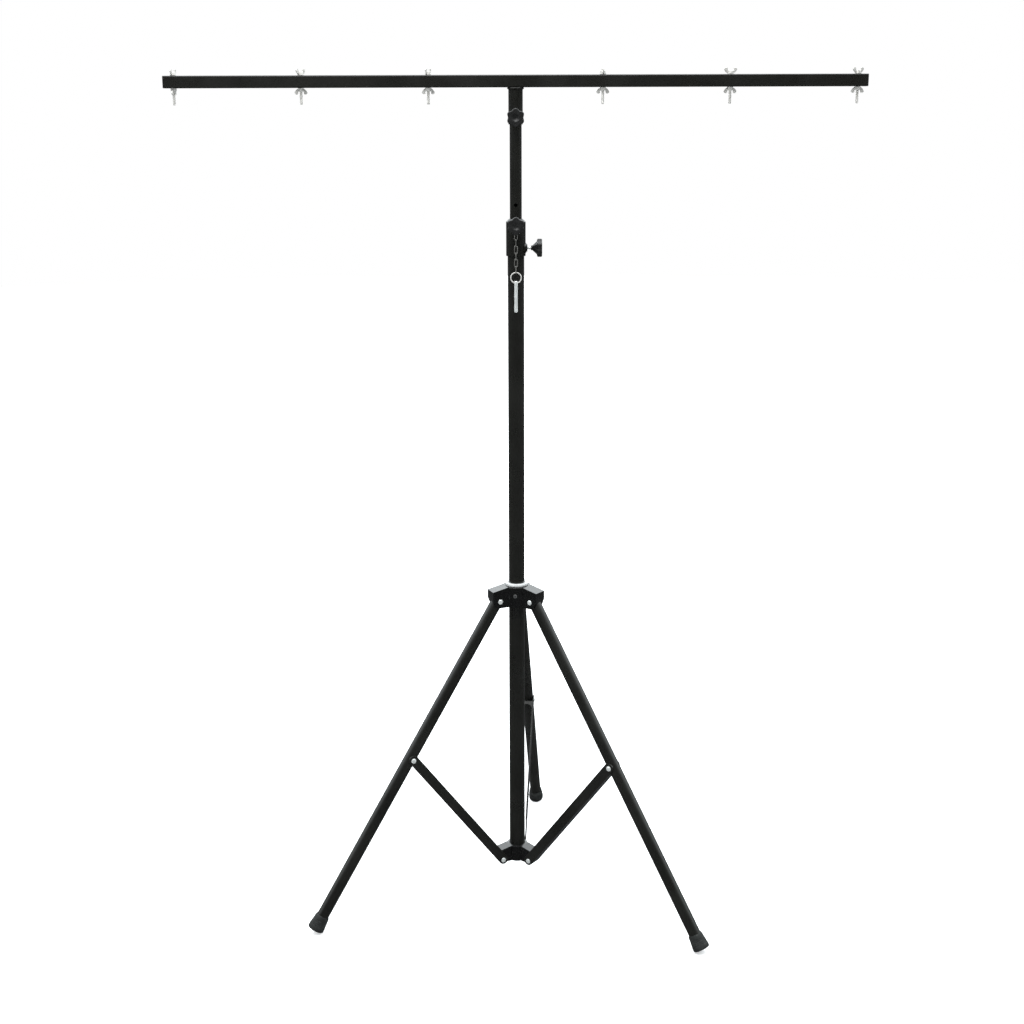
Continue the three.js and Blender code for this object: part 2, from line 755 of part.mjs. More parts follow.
const linkPitch = linkInside - gap;
const hangPoint = clampBase + frontScrewRise - chainScrewDrop + chainScrewDiameter / 2 + gap;
const chain = at(new THREE.Group(), 0, -chainPlane, hangPoint);
for (let index = 0; index < linkCount; index++) {
  const link = piece(`chain_link_${index + 1}`, chainLink(), zincSteel);
  link.rotation.z = (index % 2) * Math.PI / 2;
  chain.add(at(link, 0, 0, -index * linkPitch));
}
mast.add(chain);
const ringHeight = hangPoint - linkCount * linkPitch + ringWire / 2 - ringRadius;
mast.add(at(piece('pin_ring', pinRing(), zincSteel), 0, -chainPlane, ringHeight));
const ringSag = ringRadius - Math.sqrt(ringRadius ** 2 - pinDiameter ** 2 / 4);
const pinHeight = ringHeight - ringRadius + ringSag / 2;
mast.add(at(piece('safety_pin', safetyPin(), zincSteel), 0, -chainPlane, pinHeight));

// Hub, with the legs and braces on its three arms
const hubGroup = at(new THREE.Group(), 0, 0, hubHeight);
hubGroup.add(piece('hub', hub(), blackCoat));
hubGroup.add(piece('hub_bush', hubBush(), paleNylon));
const lockScrew = at(piece('hub_lock_screw', hubLockScrew(), zincSteel), 0, 0, hubScrewRise);
lockScrew.rotation.z = backLegTurn + Math.PI;
hubGroup.add(lockScrew);
mast.add(hubGroup);

for (let arm = 0; arm < legCount; arm++) {
  const number = arm + 1;
  const side = new THREE.Group();
  side.rotation.z = backLegTurn + 2 * Math.PI * arm / legCount;
  const hubRivet = piece(`hub_rivet_${number}`, rivet(channelInside / 2 + hubPlate + gap), zincSteel);
  side.add(at(hubRivet, hubPivotRadius, 0, hubHeight));
  const leg = at(new THREE.Group(), hubPivotRadius, 0, hubHeight);
  leg.rotation.y = -splay;
  leg.add(piece(`leg_tube_${number}`, legTube(), blackCoat));
  leg.add(piece(`leg_foot_${number}`, foot(), blackRubber));
  const legRivet = piece(`leg_rivet_${number}`, rivet(channelOutside / 2 + gap), zincSteel);
  leg.add(at(legRivet, -braceOffset, 0, -bracePoint));
  const strut = at(new THREE.Group(), -braceOffset, 0, -bracePoint);
  strut.rotation.y = splay + braceSlope(splay);
  strut.add(piece(`brace_${number}`, brace(), blackCoat));
  const stubStart = channelInside / 2;
  const headSeat = channelOutside / 2 + gap;
  const head = piece(`lower_rivet_head_${number}`, rivetEnd(stubStart, headSeat, 1), zincSteel);
  const tail = piece(`lower_rivet_tail_${number}`, rivetEnd(stubStart, headSeat, -1), zincSteel);
  strut.add(at(head, 0, 0, -braceLength));
  strut.add(at(tail, 0, 0, -braceLength));
  leg.add(strut);
  side.add(leg);
  mast.add(side);
}

// Inner tube, and the crossbar on top of it
mast.add(at(piece('inner_tube', innerTube(), blackCoat), 0, 0, innerTop));
mast.add(at(piece('inner_guide', innerGuide(), blackPlastic), 0, 0, innerTop));

const bar = at(new THREE.Group(), 0, 0, barHeight);
bar.add(piece('crossbar', crossbar(), blackCoat));
bar.add(piece('crossbar_socket', crossbarSocket(), blackCoat));
bar.add(piece('crossbar_cap_right', crossbarCap(), blackPlastic));
const leftCap = piece('crossbar_cap_left', crossbarCap(), blackPlastic);
leftCap.rotation.z = Math.PI;
bar.add(leftCap);
const socketFace = socketRadius + bossStand;
const barKnob = clampKnob('crossbar_knob', socketFace);
barKnob.rotation.x = Math.PI / 2;
bar.add(at(barKnob, 0, 0, socketLow + socketScrewRise - barHeight));
boltStations().forEach((station, index) => {
  const number = index + 1;
  const bolt = piece(`fixture_bolt_${number}`, fixtureBolt(), zincSteel);
  bolt.rotation.z = Math.PI * boltTurnShares[index % boltTurnShares.length];
  bar.add(at(bolt, station, 0, barSide / 2 + gap));
  const nut = piece(`wing_nut_${number}`, wingNut(), zincSteel);
  nut.rotation.z = Math.PI * nutTurnShares[index % nutTurnShares.length];
  bar.add(at(nut, station, 0, -barSide / 2 - gap));
});
mast.add(bar);

// The whole stand, set with its feet on the floor and its middle over the origin
const stand = new THREE.Group();
stand.add(mast);
stand.updateMatrixWorld(true);
const extent = new THREE.Box3().setFromObject(stand, true);
const middle = extent.getCenter(new THREE.Vector3());
mast.position.set(-middle.x, -middle.y, -extent.min.z);
stand.updateMatrixWorld(true);

export default stand;
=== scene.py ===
import json
import math
from itertools import zip_longest

import bmesh
import bpy
from mathutils import Matrix, Vector


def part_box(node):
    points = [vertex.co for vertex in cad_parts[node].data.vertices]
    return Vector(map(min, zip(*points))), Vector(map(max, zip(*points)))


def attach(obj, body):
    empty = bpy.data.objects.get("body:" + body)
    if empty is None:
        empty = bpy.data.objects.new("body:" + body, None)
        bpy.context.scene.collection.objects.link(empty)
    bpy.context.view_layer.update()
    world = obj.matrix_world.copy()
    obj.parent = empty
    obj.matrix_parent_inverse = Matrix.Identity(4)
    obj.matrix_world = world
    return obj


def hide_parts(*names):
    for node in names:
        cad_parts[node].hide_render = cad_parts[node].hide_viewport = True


# Lighting stand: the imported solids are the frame, and this script dresses them
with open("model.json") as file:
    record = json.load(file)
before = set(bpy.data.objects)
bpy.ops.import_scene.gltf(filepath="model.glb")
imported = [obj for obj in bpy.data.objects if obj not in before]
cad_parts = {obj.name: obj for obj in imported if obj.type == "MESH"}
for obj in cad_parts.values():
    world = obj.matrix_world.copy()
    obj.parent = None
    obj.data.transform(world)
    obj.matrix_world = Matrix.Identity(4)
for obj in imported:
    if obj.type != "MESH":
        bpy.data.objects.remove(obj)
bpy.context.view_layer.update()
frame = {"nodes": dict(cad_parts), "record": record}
cadNodes = frame["nodes"]
joints = {joint["name"]: joint for joint in frame["record"]["behaviour"]["joints"]}
bodyOf = {node: body for body, names in frame["record"]["behaviour"]["bodies"].items() for node in names}
slotOf = {row["node"]: row["material_slot"] for row in frame["record"]["subparts"]}
mm = 0.001

tubeLow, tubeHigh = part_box("outer_tube")
mastY = (tubeLow[1] + tubeHigh[1]) / 2
mastFoot = tubeLow[2]


# Camera
cameraSetup = {"lens": 54.88, "sensor": 36.0, "side": -0.010, "distance": 3.335, "height": 1.7706,
               "pitch": 14.4, "roll": 0.18, "clipEnd": 100.0}


def addCamera(setup):
    data = bpy.data.cameras.new("camera")
    data.lens = setup["lens"]
    data.sensor_width = setup["sensor"]
    data.clip_end = setup["clipEnd"]
    camera = bpy.data.objects.new("camera", data)
    camera.location = (setup["side"], mastY - setup["distance"], setup["height"])
    turn = Matrix.Rotation(math.radians(90.0 - setup["pitch"]), 3, "X")
    camera.rotation_euler = (turn @ Matrix.Rotation(math.radians(-setup["roll"]), 3, "Z")).to_euler()
    bpy.context.collection.objects.link(camera)
    bpy.context.scene.camera = camera


addCamera(cameraSetup)
print("camera placed")


# Materials: one grain recipe, with a look for each finish
def startMaterial(name):
    material = bpy.data.materials.new(name)
    material.use_nodes = True
    material.node_tree.nodes.clear()
    return material, material.node_tree


def addNode(tree, kind, inputs=None, **settings):
    node = tree.nodes.new(kind)
    for key, value in settings.items():
        setattr(node, key, value)
    for key, value in (inputs or {}).items():
        socket = node.inputs[key]
        if isinstance(value, bpy.types.NodeSocket):
            tree.links.new(value, socket)
        else:
            socket.default_value = value
    return node


def objectNoise(tree, coordinates, scale, detail, roughness=0.5, stretch=(1.0, 1.0, 1.0)):
    mapping = addNode(tree, "ShaderNodeMapping", {"Vector": coordinates, "Scale": stretch})
    noise = addNode(tree, "ShaderNodeTexNoise", {"Vector": mapping.outputs["Vector"], "Scale": scale,
                                                 "Detail": detail, "Roughness": roughness})
    return noise.outputs["Fac"]


def rangeOf(tree, value, low, high, newLow=0.0, newHigh=1.0, **settings):
    node = addNode(tree, "ShaderNodeMapRange", {"Value": value, "From Min": low, "From Max": high,
                                                "To Min": newLow, "To Max": newHigh}, **settings)
    return node.outputs["Result"]


def mixColour(tree, factor, first, second, blend="MIX"):
    node = addNode(tree, "ShaderNodeMix", {0: factor, 6: first, 7: second}, data_type="RGBA",
                   blend_type=blend)
    return node.outputs[2]


def mathNode(tree, operation, first, second=0.0, third=0.0):
    return addNode(tree, "ShaderNodeMath", {0: first, 1: second, 2: third}, operation=operation).outputs[0]


def grey(level, tint=(1.0, 1.0, 1.0)):
    return (level * tint[0], level * tint[1], level * tint[2], 1.0)


# Each look has its cloud's scale, dark and light colour, its scuffs' scale, start, amount and colour,
# its grain's scale, strength and depth, its roughness and how far that varies, and what differs
# from sharedLook
sharedLook = {"cloudDetail": 4.0, "cloudLow": 0.35, "cloudHigh": 0.65, "scuffDetail": 6.0,
              "scuffRoughness": 0.65, "scuffEdge": 0.06, "scuffStretch": (1.0, 1.0, 1.0),
              "grainDetail": 2.0, "sheenRatio": 2.7, "sheenDetail": 3.0, "sheenLow": 0.3, "sheenHigh": 0.7,
              "metallic": 0.0, "specular": 0.5, "coat": 0.0, "coatRoughness": 0.2}
looks = {
    "powderCoat": {
        "cloud": (9.0, grey(0.006, (1.0, 1.0, 0.82)), grey(0.0095, (1.0, 1.0, 0.86))),
        "scuffs": (60.0, 0.70, 0.35, grey(0.03)), "grain": (900.0, 0.16, 0.0002), "roughness": (0.3, 0.05),
        "scuffStretch": (1.0, 1.0, 0.35), "specular": 0.4},
    "castGloss": {
        "cloud": (24.0, grey(0.001), grey(0.0022, (0.95, 1.0, 0.96))),
        "scuffs": (140.0, 0.72, 0.4, grey(0.05)), "grain": (260.0, 0.1, 0.0003), "roughness": (0.24, 0.05),
        "coat": 0.35, "coatRoughness": 0.12},
    "mouldedPlastic": {
        "cloud": (40.0, grey(0.008), grey(0.013)), "scuffs": (220.0, 0.70, 0.3, grey(0.06)),
        "grain": (1500.0, 0.25, 0.00015), "roughness": (0.34, 0.06), "specular": 0.32},
    "footRubber": {
        "cloud": (50.0, grey(0.010, (0.94, 1.03, 0.98)), grey(0.020, (0.94, 1.03, 0.98))),
        "scuffs": (120.0, 0.62, 0.5, grey(0.07, (1.0, 1.0, 0.94))), "grain": (1100.0, 0.4, 0.0003),
        "roughness": (0.72, 0.08), "specular": 0.3},
    "paleNylon": {
        "cloud": (30.0, grey(0.47, (0.98, 1.0, 1.0)), grey(0.58)), "scuffs": (160.0, 0.66, 0.4, grey(0.30)),
        "grain": (900.0, 0.12, 0.0002), "roughness": (0.38, 0.06), "scuffStretch": (1.0, 1.0, 0.5)},
    "zincPlate": {
        "cloud": (160.0, grey(0.68, (0.97, 1.0, 0.98)), grey(0.80, (0.97, 1.0, 0.98))),
        "scuffs": (420.0, 0.64, 0.4, grey(0.5)), "grain": (1800.0, 0.08, 0.00005), "roughness": (0.42, 0.08),
        "metallic": 0.55},
    "brightZinc": {
        "cloud": (220.0, grey(0.50, (1.0, 0.98, 0.93)), grey(0.64, (1.0, 0.98, 0.94))),
        "scuffs": (420.0, 0.66, 0.35, grey(0.55)), "grain": (1800.0, 0.06, 0.00005),
        "roughness": (0.46, 0.06), "metallic": 0.35},
    "dullSteel": {
        "cloud": (180.0, grey(0.05), grey(0.09)), "scuffs": (420.0, 0.62, 0.5, grey(0.22)),
        "grain": (1600.0, 0.1, 0.00005), "roughness": (0.42, 0.08), "metallic": 0.3},
    "chainSteel": {
        "cloud": (130.0, grey(0.11, (1.0, 0.98, 0.91)), grey(0.19, (1.0, 0.98, 0.92))),
        "scuffs": (380.0, 0.60, 0.5, grey(0.05, (1.0, 0.9, 0.8))), "grain": (1500.0, 0.25, 0.0001),
        "roughness": (0.4, 0.08), "metallic": 0.45},
}


def grainMaterial(name, ownLook):
    look = {**sharedLook, **ownLook}
    cloudScale, dark, light = look["cloud"]
    scuffScale, scuffStart, scuffAmount, scuffColour = look["scuffs"]
    grainScale, strength, depth = look["grain"]
    middle, spread = look["roughness"]
    material, tree = startMaterial(name)
    place = addNode(tree, "ShaderNodeTexCoord").outputs["Object"]
    cloud = objectNoise(tree, place, cloudScale, look["cloudDetail"])
    colour = mixColour(tree, rangeOf(tree, cloud, look["cloudLow"], look["cloudHigh"]), dark, light)
    scuffs = objectNoise(tree, place, scuffScale, look["scuffDetail"], look["scuffRoughness"],
                         look["scuffStretch"])
    scuffMask = rangeOf(tree, scuffs, scuffStart, scuffStart + look["scuffEdge"], 0.0, scuffAmount)
    colour = mixColour(tree, scuffMask, colour, scuffColour)
    grain = objectNoise(tree, place, grainScale, look["grainDetail"])
    sheen = objectNoise(tree, place, cloudScale * look["sheenRatio"], look["sheenDetail"])
    roughness = rangeOf(tree, sheen, look["sheenLow"], look["sheenHigh"], middle - spread, middle + spread)
    bump = addNode(tree, "ShaderNodeBump", {"Strength": strength, "Distance": depth, "Height": grain})
    shader = addNode(tree, "ShaderNodeBsdfPrincipled", {
        "Base Color": colour, "Roughness": roughness, "Normal": bump.outputs["Normal"],
        "Metallic": look["metallic"], "Specular IOR Level": look["specular"],
        "Coat Weight": look["coat"], "Coat Roughness": look["coatRoughness"]})
    addNode(tree, "ShaderNodeOutputMaterial", {"Surface": shader.outputs["BSDF"]})
    return material


materials = {name: grainMaterial(name, look) for name, look in looks.items()}
print("materials made:", len(materials))


# Shared mesh tools: outlines are in millimetres, meshes in metres, angles in degrees
roundSides, rodSides, fineSteps = 96, 32, 5
cornerShare, tiny = 0.48, 1e-6
flatAngle, bevelAngle, smoothAngle, threadAngle, domeAngle = 0.5, 30.0, 32.0, 40.0, 50.0


def addObject(name, mesh):
    piece = bpy.data.objects.new(name, mesh)
    bpy.context.collection.objects.link(piece)
    return piece


def objectFrom(name, shape):
    mesh = bpy.data.meshes.new(name)
    shape.to_mesh(mesh)
    shape.free()
    return addObject(name, mesh)


def solidFrom(name, shape, place):
    shape.transform(place)
    bmesh.ops.recalc_face_normals(shape, faces=shape.faces)
    return objectFrom(name, shape)


def discard(pieces):
    for piece in pieces:
        mesh = piece.data
        bpy.data.objects.remove(piece)
        bpy.data.meshes.remove(mesh)


def bakeModifiers(piece):
    bpy.context.view_layer.update()
    graph = bpy.context.evaluated_depsgraph_get()
    mesh = bpy.data.meshes.new_from_object(piece.evaluated_get(graph))
    old = piece.data
    piece.modifiers.clear()
    piece.data = mesh
    mesh.name = piece.name
    if old.users == 0:
        bpy.data.meshes.remove(old)
    return piece


def roundedPath(corners, edges, steps=4):
    # a path that closes on itself: edges are its corners' radii, and the corners past their end are sharp
    path = []
    points = [Vector(corner) for corner in corners]
    for point, before, after, radius in zip_longest(
            points, points[-1:] + points[:-1], points[1:] + points[:1], edges, fillvalue=0.0):
        if radius == 0.0:
            path.append(tuple(point))
            continue
        inward = (before - point).normalized()
        outward = (after - point).normalized()
        half = inward.angle(outward) / 2
        reach = min(radius / math.tan(half), (before - point).length * cornerShare,
                    (after - point).length * cornerShare)
        bow = reach * math.tan(half)
        centre = point + (inward + outward).normalized() * (bow / math.sin(half))
        start = point + inward * reach - centre
        turn = start.angle_signed(point + outward * reach - centre)
        for step in range(steps + 1):
            angle = -turn * step / steps
            spun = Vector((start.x * math.cos(angle) - start.y * math.sin(angle),
                           start.x * math.sin(angle) + start.y * math.cos(angle)))
            path.append(tuple(centre + spun))
    return path


def arcPoints(x, y, radius, first, last, steps=16):
    turns = [math.radians(first + (last - first) * step / steps) for step in range(steps + 1)]
    return [(x + radius * math.cos(turn), y + radius * math.sin(turn)) for turn in turns]


def bowPoints(start, pull, end, steps=8):
    # a quadratic curve without its first point
    shares = [step / steps for step in range(1, steps + 1)]
    return [tuple(Vector(start) * (1 - share) ** 2 + Vector(pull) * 2 * share * (1 - share)
                  + Vector(end) * share ** 2) for share in shares]


def turnedPiece(name, profile, place, sides=roundSides, shift=None):
    # profile is (radius, height), from axis to axis, or a ring that closes on itself
    shape = bmesh.new()
    rings = []
    for radius, height in profile:
        if radius < tiny:
            rings.append([shape.verts.new((0.0, 0.0, height * mm))])
            continue
        ring = []
        for side in range(sides):
            angle = 2 * math.pi * side / sides
            point = (radius * math.cos(angle), radius * math.sin(angle), height)
            ring.append(shape.verts.new(Vector(shift(*point) if shift else point) * mm))
        rings.append(ring)
    pairs = list(zip(rings, rings[1:]))
    if len(rings[0]) > 1:
        pairs.append((rings[-1], rings[0]))
    for low, high in pairs:
        for side in range(sides):
            after = (side + 1) % sides
            if len(low) == 1:
                shape.faces.new((low[0], high[after], high[side]))
            elif len(high) == 1:
                shape.faces.new((low[side], low[after], high[0]))
            else:
                shape.faces.new((low[side], low[after], high[after], high[side]))
    return solidFrom(name, shape, place)


def rodPiece(name, radius, low, high, place, sides=rodSides):
    return turnedPiece(name, [(0.0, low), (radius, low), (radius, high), (0.0, high)], place, sides)


def outlinePiece(name, outline, low, high, place):
    # a prism of the outline, along its own Z
    shape = bmesh.new()
    face = shape.faces.new([shape.verts.new((x * mm, y * mm, low * mm)) for x, y in outline])
    lifted = bmesh.ops.extrude_face_region(shape, geom=[face])
    verts = [item for item in lifted["geom"] if isinstance(item, bmesh.types.BMVert)]
    bmesh.ops.translate(shape, verts=verts, vec=(0.0, 0.0, (high - low) * mm))
    return solidFrom(name, shape, place)


def combine(piece, others, operation):
    for other in others:
        step = piece.modifiers.new(operation.lower(), "BOOLEAN")
        step.operation = operation
        step.solver = "EXACT"
        step.object = other
    bakeModifiers(piece)
    discard(others)
    return piece


def softenEdges(piece, width, segments=3, angle=bevelAngle):
    edge = piece.modifiers.new("edge", "BEVEL")
    edge.width = width * mm
    edge.segments = segments
    edge.limit_method = "ANGLE"
    edge.angle_limit = math.radians(angle)
    edge.use_clamp_overlap = True
    return bakeModifiers(piece)


def joinPieces(name, pieces):
    shape = bmesh.new()
    for piece in pieces:
        shape.from_mesh(piece.data)
    discard(pieces)
    return objectFrom(name, shape)


def smoothFaces(piece, angle):
    piece.data.shade_smooth()
    piece.data.set_sharp_from_angle(angle=math.radians(angle))


def finishPiece(piece, nodeNames, material):
    # smooth faces, flats kept flat, then material, slot and body
    piece.data.materials.clear()
    piece.data.materials.append(materials[material])
    smoothFaces(piece, smoothAngle)
    normals = piece.modifiers.new("normals", "WEIGHTED_NORMAL")
    normals.keep_sharp = True
    bakeModifiers(piece)
    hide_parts(*nodeNames)
    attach(piece, bodyOf[nodeNames[0]])


def softenedCopy(nodeName, width):
    # a CAD solid with its doubles merged, as a mesh that can be softened
    shape = bmesh.new()
    shape.from_mesh(cadNodes[nodeName].data)
    bmesh.ops.remove_doubles(shape, verts=shape.verts, dist=tiny)
    bmesh.ops.dissolve_limit(shape, angle_limit=math.radians(flatAngle), verts=shape.verts, edges=shape.edges)
    return softenEdges(objectFrom(nodeName + "Shape", shape), width, 2)


# Geometry Nodes: each tree has named inputs for its sizes
def startTree(name, floats, wholes=()):
    tree = bpy.data.node_groups.new(name, "GeometryNodeTree")
    tree.interface.new_socket("Geometry", in_out="INPUT", socket_type="NodeSocketGeometry")
    for kind, labels in (("NodeSocketFloat", floats), ("NodeSocketInt", wholes)):
        for label in labels:
            tree.interface.new_socket(label, in_out="INPUT", socket_type=kind)
    tree.interface.new_socket("Geometry", in_out="OUTPUT", socket_type="NodeSocketGeometry")
    return tree, tree.nodes.new("NodeGroupInput").outputs


def endTree(tree, geometry, material):
    solid = addNode(tree, "GeometryNodeRealizeInstances", {"Geometry": geometry})
    coated = addNode(tree, "GeometryNodeSetMaterial", {"Geometry": solid.outputs[0], "Material": material})
    addNode(tree, "NodeGroupOutput", {0: coated.outputs[0]})
    return tree


def vectorOf(tree, z):
    return addNode(tree, "ShaderNodeCombineXYZ", {2: z}).outputs[0]


def circleCurve(tree, radius, sides):
    circle = addNode(tree, "GeometryNodeCurvePrimitiveCircle", {"Resolution": sides, "Radius": radius})
    return circle.outputs[0]


def sweep(tree, path, profile, caps=False):
    swept = addNode(tree, "GeometryNodeCurveToMesh",
                    {"Curve": path, "Profile Curve": profile, "Fill Caps": caps})
    return swept.outputs[0]


def moved(tree, geometry, **inputs):
    return addNode(tree, "GeometryNodeTransform", {"Geometry": geometry, **inputs}).outputs[0]


def growTree(piece, tree, values):
    grown = piece.modifiers.new(tree.name, "NODES")
    grown.node_group = tree
    for item in tree.interface.items_tree:
        if item.in_out == "INPUT" and item.name in values:
            grown[item.identifier] = values[item.name]
    return bakeModifiers(piece)


def ringPatternTree(material):
    # the input geometry, repeated round the Z axis and turned with it
    tree, given = startTree("ringPattern", ("Radius", "Start Angle"), ("Count",))
    circle = addNode(tree, "GeometryNodeMeshCircle", {"Vertices": given["Count"], "Radius": given["Radius"]})
    index = tree.nodes.new("GeometryNodeInputIndex").outputs[0]
    step = mathNode(tree, "DIVIDE", 2 * math.pi, given["Count"])
    copies = addNode(tree, "GeometryNodeInstanceOnPoints", {
        "Points": circle.outputs["Mesh"], "Instance": given["Geometry"],
        "Rotation": vectorOf(tree, mathNode(tree, "MULTIPLY", index, step))})
    turned = moved(tree, copies.outputs[0], Rotation=vectorOf(tree, given["Start Angle"]))
    return endTree(tree, turned, material)


def threadTree(material):
    # a screw thread round the Z axis, joined to the input geometry
    tree, given = startTree("screwThread", ("Core Radius", "Ridge Radius", "Pitch", "Length", "Low End"))
    spiral = addNode(tree, "GeometryNodeCurveSpiral", {
        "Resolution": 20, "Rotations": mathNode(tree, "DIVIDE", given["Length"], given["Pitch"]),
        "Start Radius": given["Core Radius"], "End Radius": given["Core Radius"], "Height": given["Length"]})
    ridge = sweep(tree, spiral.outputs[0], circleCurve(tree, given["Ridge Radius"], sides=5), caps=True)
    both = tree.nodes.new("GeometryNodeJoinGeometry")
    tree.links.new(moved(tree, ridge, Translation=vectorOf(tree, given["Low End"])), both.inputs[0])
    tree.links.new(given["Geometry"], both.inputs[0])
    return endTree(tree, both.outputs[0], material)


def chainTree(material):
    # stadium links of round wire, each turned a quarter against the one above
    filletShare = 0.499
    tree, given = startTree("linkChain", ("Width", "Inside", "Wire", "Pitch"), ("Count",))
    across = mathNode(tree, "SUBTRACT", given["Width"], given["Wire"])
    along = mathNode(tree, "ADD", given["Inside"], given["Wire"])
    box = addNode(tree, "GeometryNodeCurvePrimitiveQuadrilateral", {"Width": across, "Height": along})
    radius = mathNode(tree, "MULTIPLY", across, filletShare)
    bent = addNode(tree, "GeometryNodeFilletCurve", {"Curve": box.outputs[0], "Count": 9, "Radius": radius},
                   mode="POLY")
    wire = circleCurve(tree, mathNode(tree, "MULTIPLY", given["Wire"], 0.5), sides=14)
    hung = moved(tree, sweep(tree, bent.outputs[0], wire), Rotation=(math.pi / 2, 0.0, 0.0),
                 Translation=vectorOf(tree, mathNode(tree, "MULTIPLY", given["Inside"], -0.5)))
    line = addNode(tree, "GeometryNodeMeshLine", {
        "Count": given["Count"], "Offset": vectorOf(tree, mathNode(tree, "MULTIPLY", given["Pitch"], -1.0))})
    index = tree.nodes.new("GeometryNodeInputIndex").outputs[0]
    quarter = mathNode(tree, "MULTIPLY", mathNode(tree, "MODULO", index, 2.0), math.pi / 2)
    copies = addNode(tree, "GeometryNodeInstanceOnPoints", {
        "Points": line.outputs[0], "Instance": hung, "Rotation": vectorOf(tree, quarter)})
    return endTree(tree, copies.outputs[0], material)


def weldTree(material):
    # a rippled bead that closes on itself round the Z axis
    tree, given = startTree("weldBead", ("Radius", "Bead", "Ripple", "Ripples"), ("Seed",))
    ring = circleCurve(tree, given["Radius"], sides=184)
    swept = sweep(tree, ring, circleCurve(tree, given["Bead"], sides=12))
    place = tree.nodes.new("GeometryNodeInputPosition").outputs[0]
    parts = addNode(tree, "ShaderNodeSeparateXYZ", {0: place}).outputs
    angle = mathNode(tree, "ARCTAN2", parts[1], parts[0])
    wave = mathNode(tree, "SINE", mathNode(tree, "MULTIPLY", angle, given["Ripples"]))
    uneven = addNode(tree, "ShaderNodeTexNoise", {"Vector": place, "W": given["Seed"], "Scale": 240.0},
                     noise_dimensions="4D").outputs[0]
    swell = mathNode(tree, "MULTIPLY", mathNode(tree, "ADD", mathNode(tree, "MULTIPLY", wave, 0.5), uneven),
                     given["Ripple"])
    normal = tree.nodes.new("GeometryNodeInputNormal").outputs[0]
    push = addNode(tree, "ShaderNodeVectorMath", {0: normal, "Scale": swell}, operation="SCALE")
    rough = addNode(tree, "GeometryNodeSetPosition", {"Geometry": swept, "Offset": push.outputs[0]})
    return endTree(tree, rough.outputs[0], material)


# Places of the mast, arms, legs and braces, from the record's joints
upright = Matrix.Rotation(math.pi / 2, 4, "X")
alongX = Matrix.Rotation(math.pi / 2, 4, "Y")
unmoved = Matrix.Identity(4)
mastPlace = Matrix.Translation((0.0, mastY, mastFoot))
linkage = {"splay": 32.25, "bracePoint": 402.0, "braceOffset": 3.5, "braceLength": 358.0, "hubPivot": 46.5,
           "lowerPivot": 42.0}


def lift(place, height):
    return place @ Matrix.Translation((0.0, 0.0, height * mm))


def towards(turn, height):
    # a place whose Z points out from the mast's axis: turn 0 is along +X, -90 towards the front
    return lift(mastPlace, height) @ Matrix.Rotation(math.radians(turn), 4, "Z") @ alongX


def armPlace(number):
    joint = joints[f"leg_fold_{number}"]
    across = Vector(joint["axis"])
    outward = across.cross(Vector((0.0, 0.0, 1.0)))
    rows = Matrix((outward, across, (0.0, 0.0, 1.0))).transposed().to_4x4()
    return Matrix.Translation(joint["pos_m"]) @ rows


def aboutMast(number, height):
    arm = armPlace(number)
    arm.translation = Vector((0.0, mastY, height))
    return arm


def hubCentre():
    return Matrix.Translation((0.0, mastY, joints["leg_fold_1"]["pos_m"][2]))


def legPlace(number):
    return armPlace(number) @ Matrix.Rotation(-math.radians(linkage["splay"]), 4, "Y")


def bracePlace(number):
    splay = math.radians(linkage["splay"])
    out = linkage["bracePoint"] * math.sin(splay) - linkage["braceOffset"] * math.cos(splay)
    slope = math.asin((linkage["hubPivot"] + out - linkage["lowerPivot"]) / linkage["braceLength"])
    offset = Matrix.Translation((-linkage["braceOffset"] * mm, 0.0, -linkage["bracePoint"] * mm))
    return legPlace(number) @ offset @ Matrix.Rotation(splay + slope, 4, "Y")


# Every CAD node keeps a finish of its own, also where a finer piece stands for it
slotMaterial = {"black_coat": "powderCoat", "black_plastic": "mouldedPlastic", "black_rubber": "footRubber",
                "pale_nylon": "paleNylon", "zinc_plate": "zincPlate", "bright_steel": "chainSteel"}
castNodes = ("hub", "lower_collar")
for nodeName, node in cadNodes.items():
    finish = "castGloss" if nodeName in castNodes else slotMaterial[slotOf[nodeName]]
    node.data.materials.clear()
    node.data.materials.append(materials[finish])
print("CAD nodes dressed:", len(cadNodes))


# Tubes of the mast, with edge loops that keep their long faces even
tubes = {"outerRadius": 17.5, "outerBore": 16.0, "outerLength": 1436.7,
         "outerLoops": (200.0, 500.0, 800.0, 1100.0), "innerRadius": 12.5, "innerBore": 11.0,
         "innerLength": 1500.0, "lip": 0.35, "holeInset": 238.0, "holePitch": 160.0, "holeCount": 7,
         "holeRadius": 3.9, "holeLoop": 8.0, "holeDepth": 20.0, "holeSides": 28}


def tubeProfile(bore, radius, low, high, lip, loops):
    outside = [(radius, level) for level in loops]
    inside = [(bore, level) for level in reversed(loops)]
    return roundedPath([(bore, low), (radius, low), *outside, (radius, high), (bore, high), *inside],
                       (lip, lip, *[0.0] * len(loops), lip, lip))


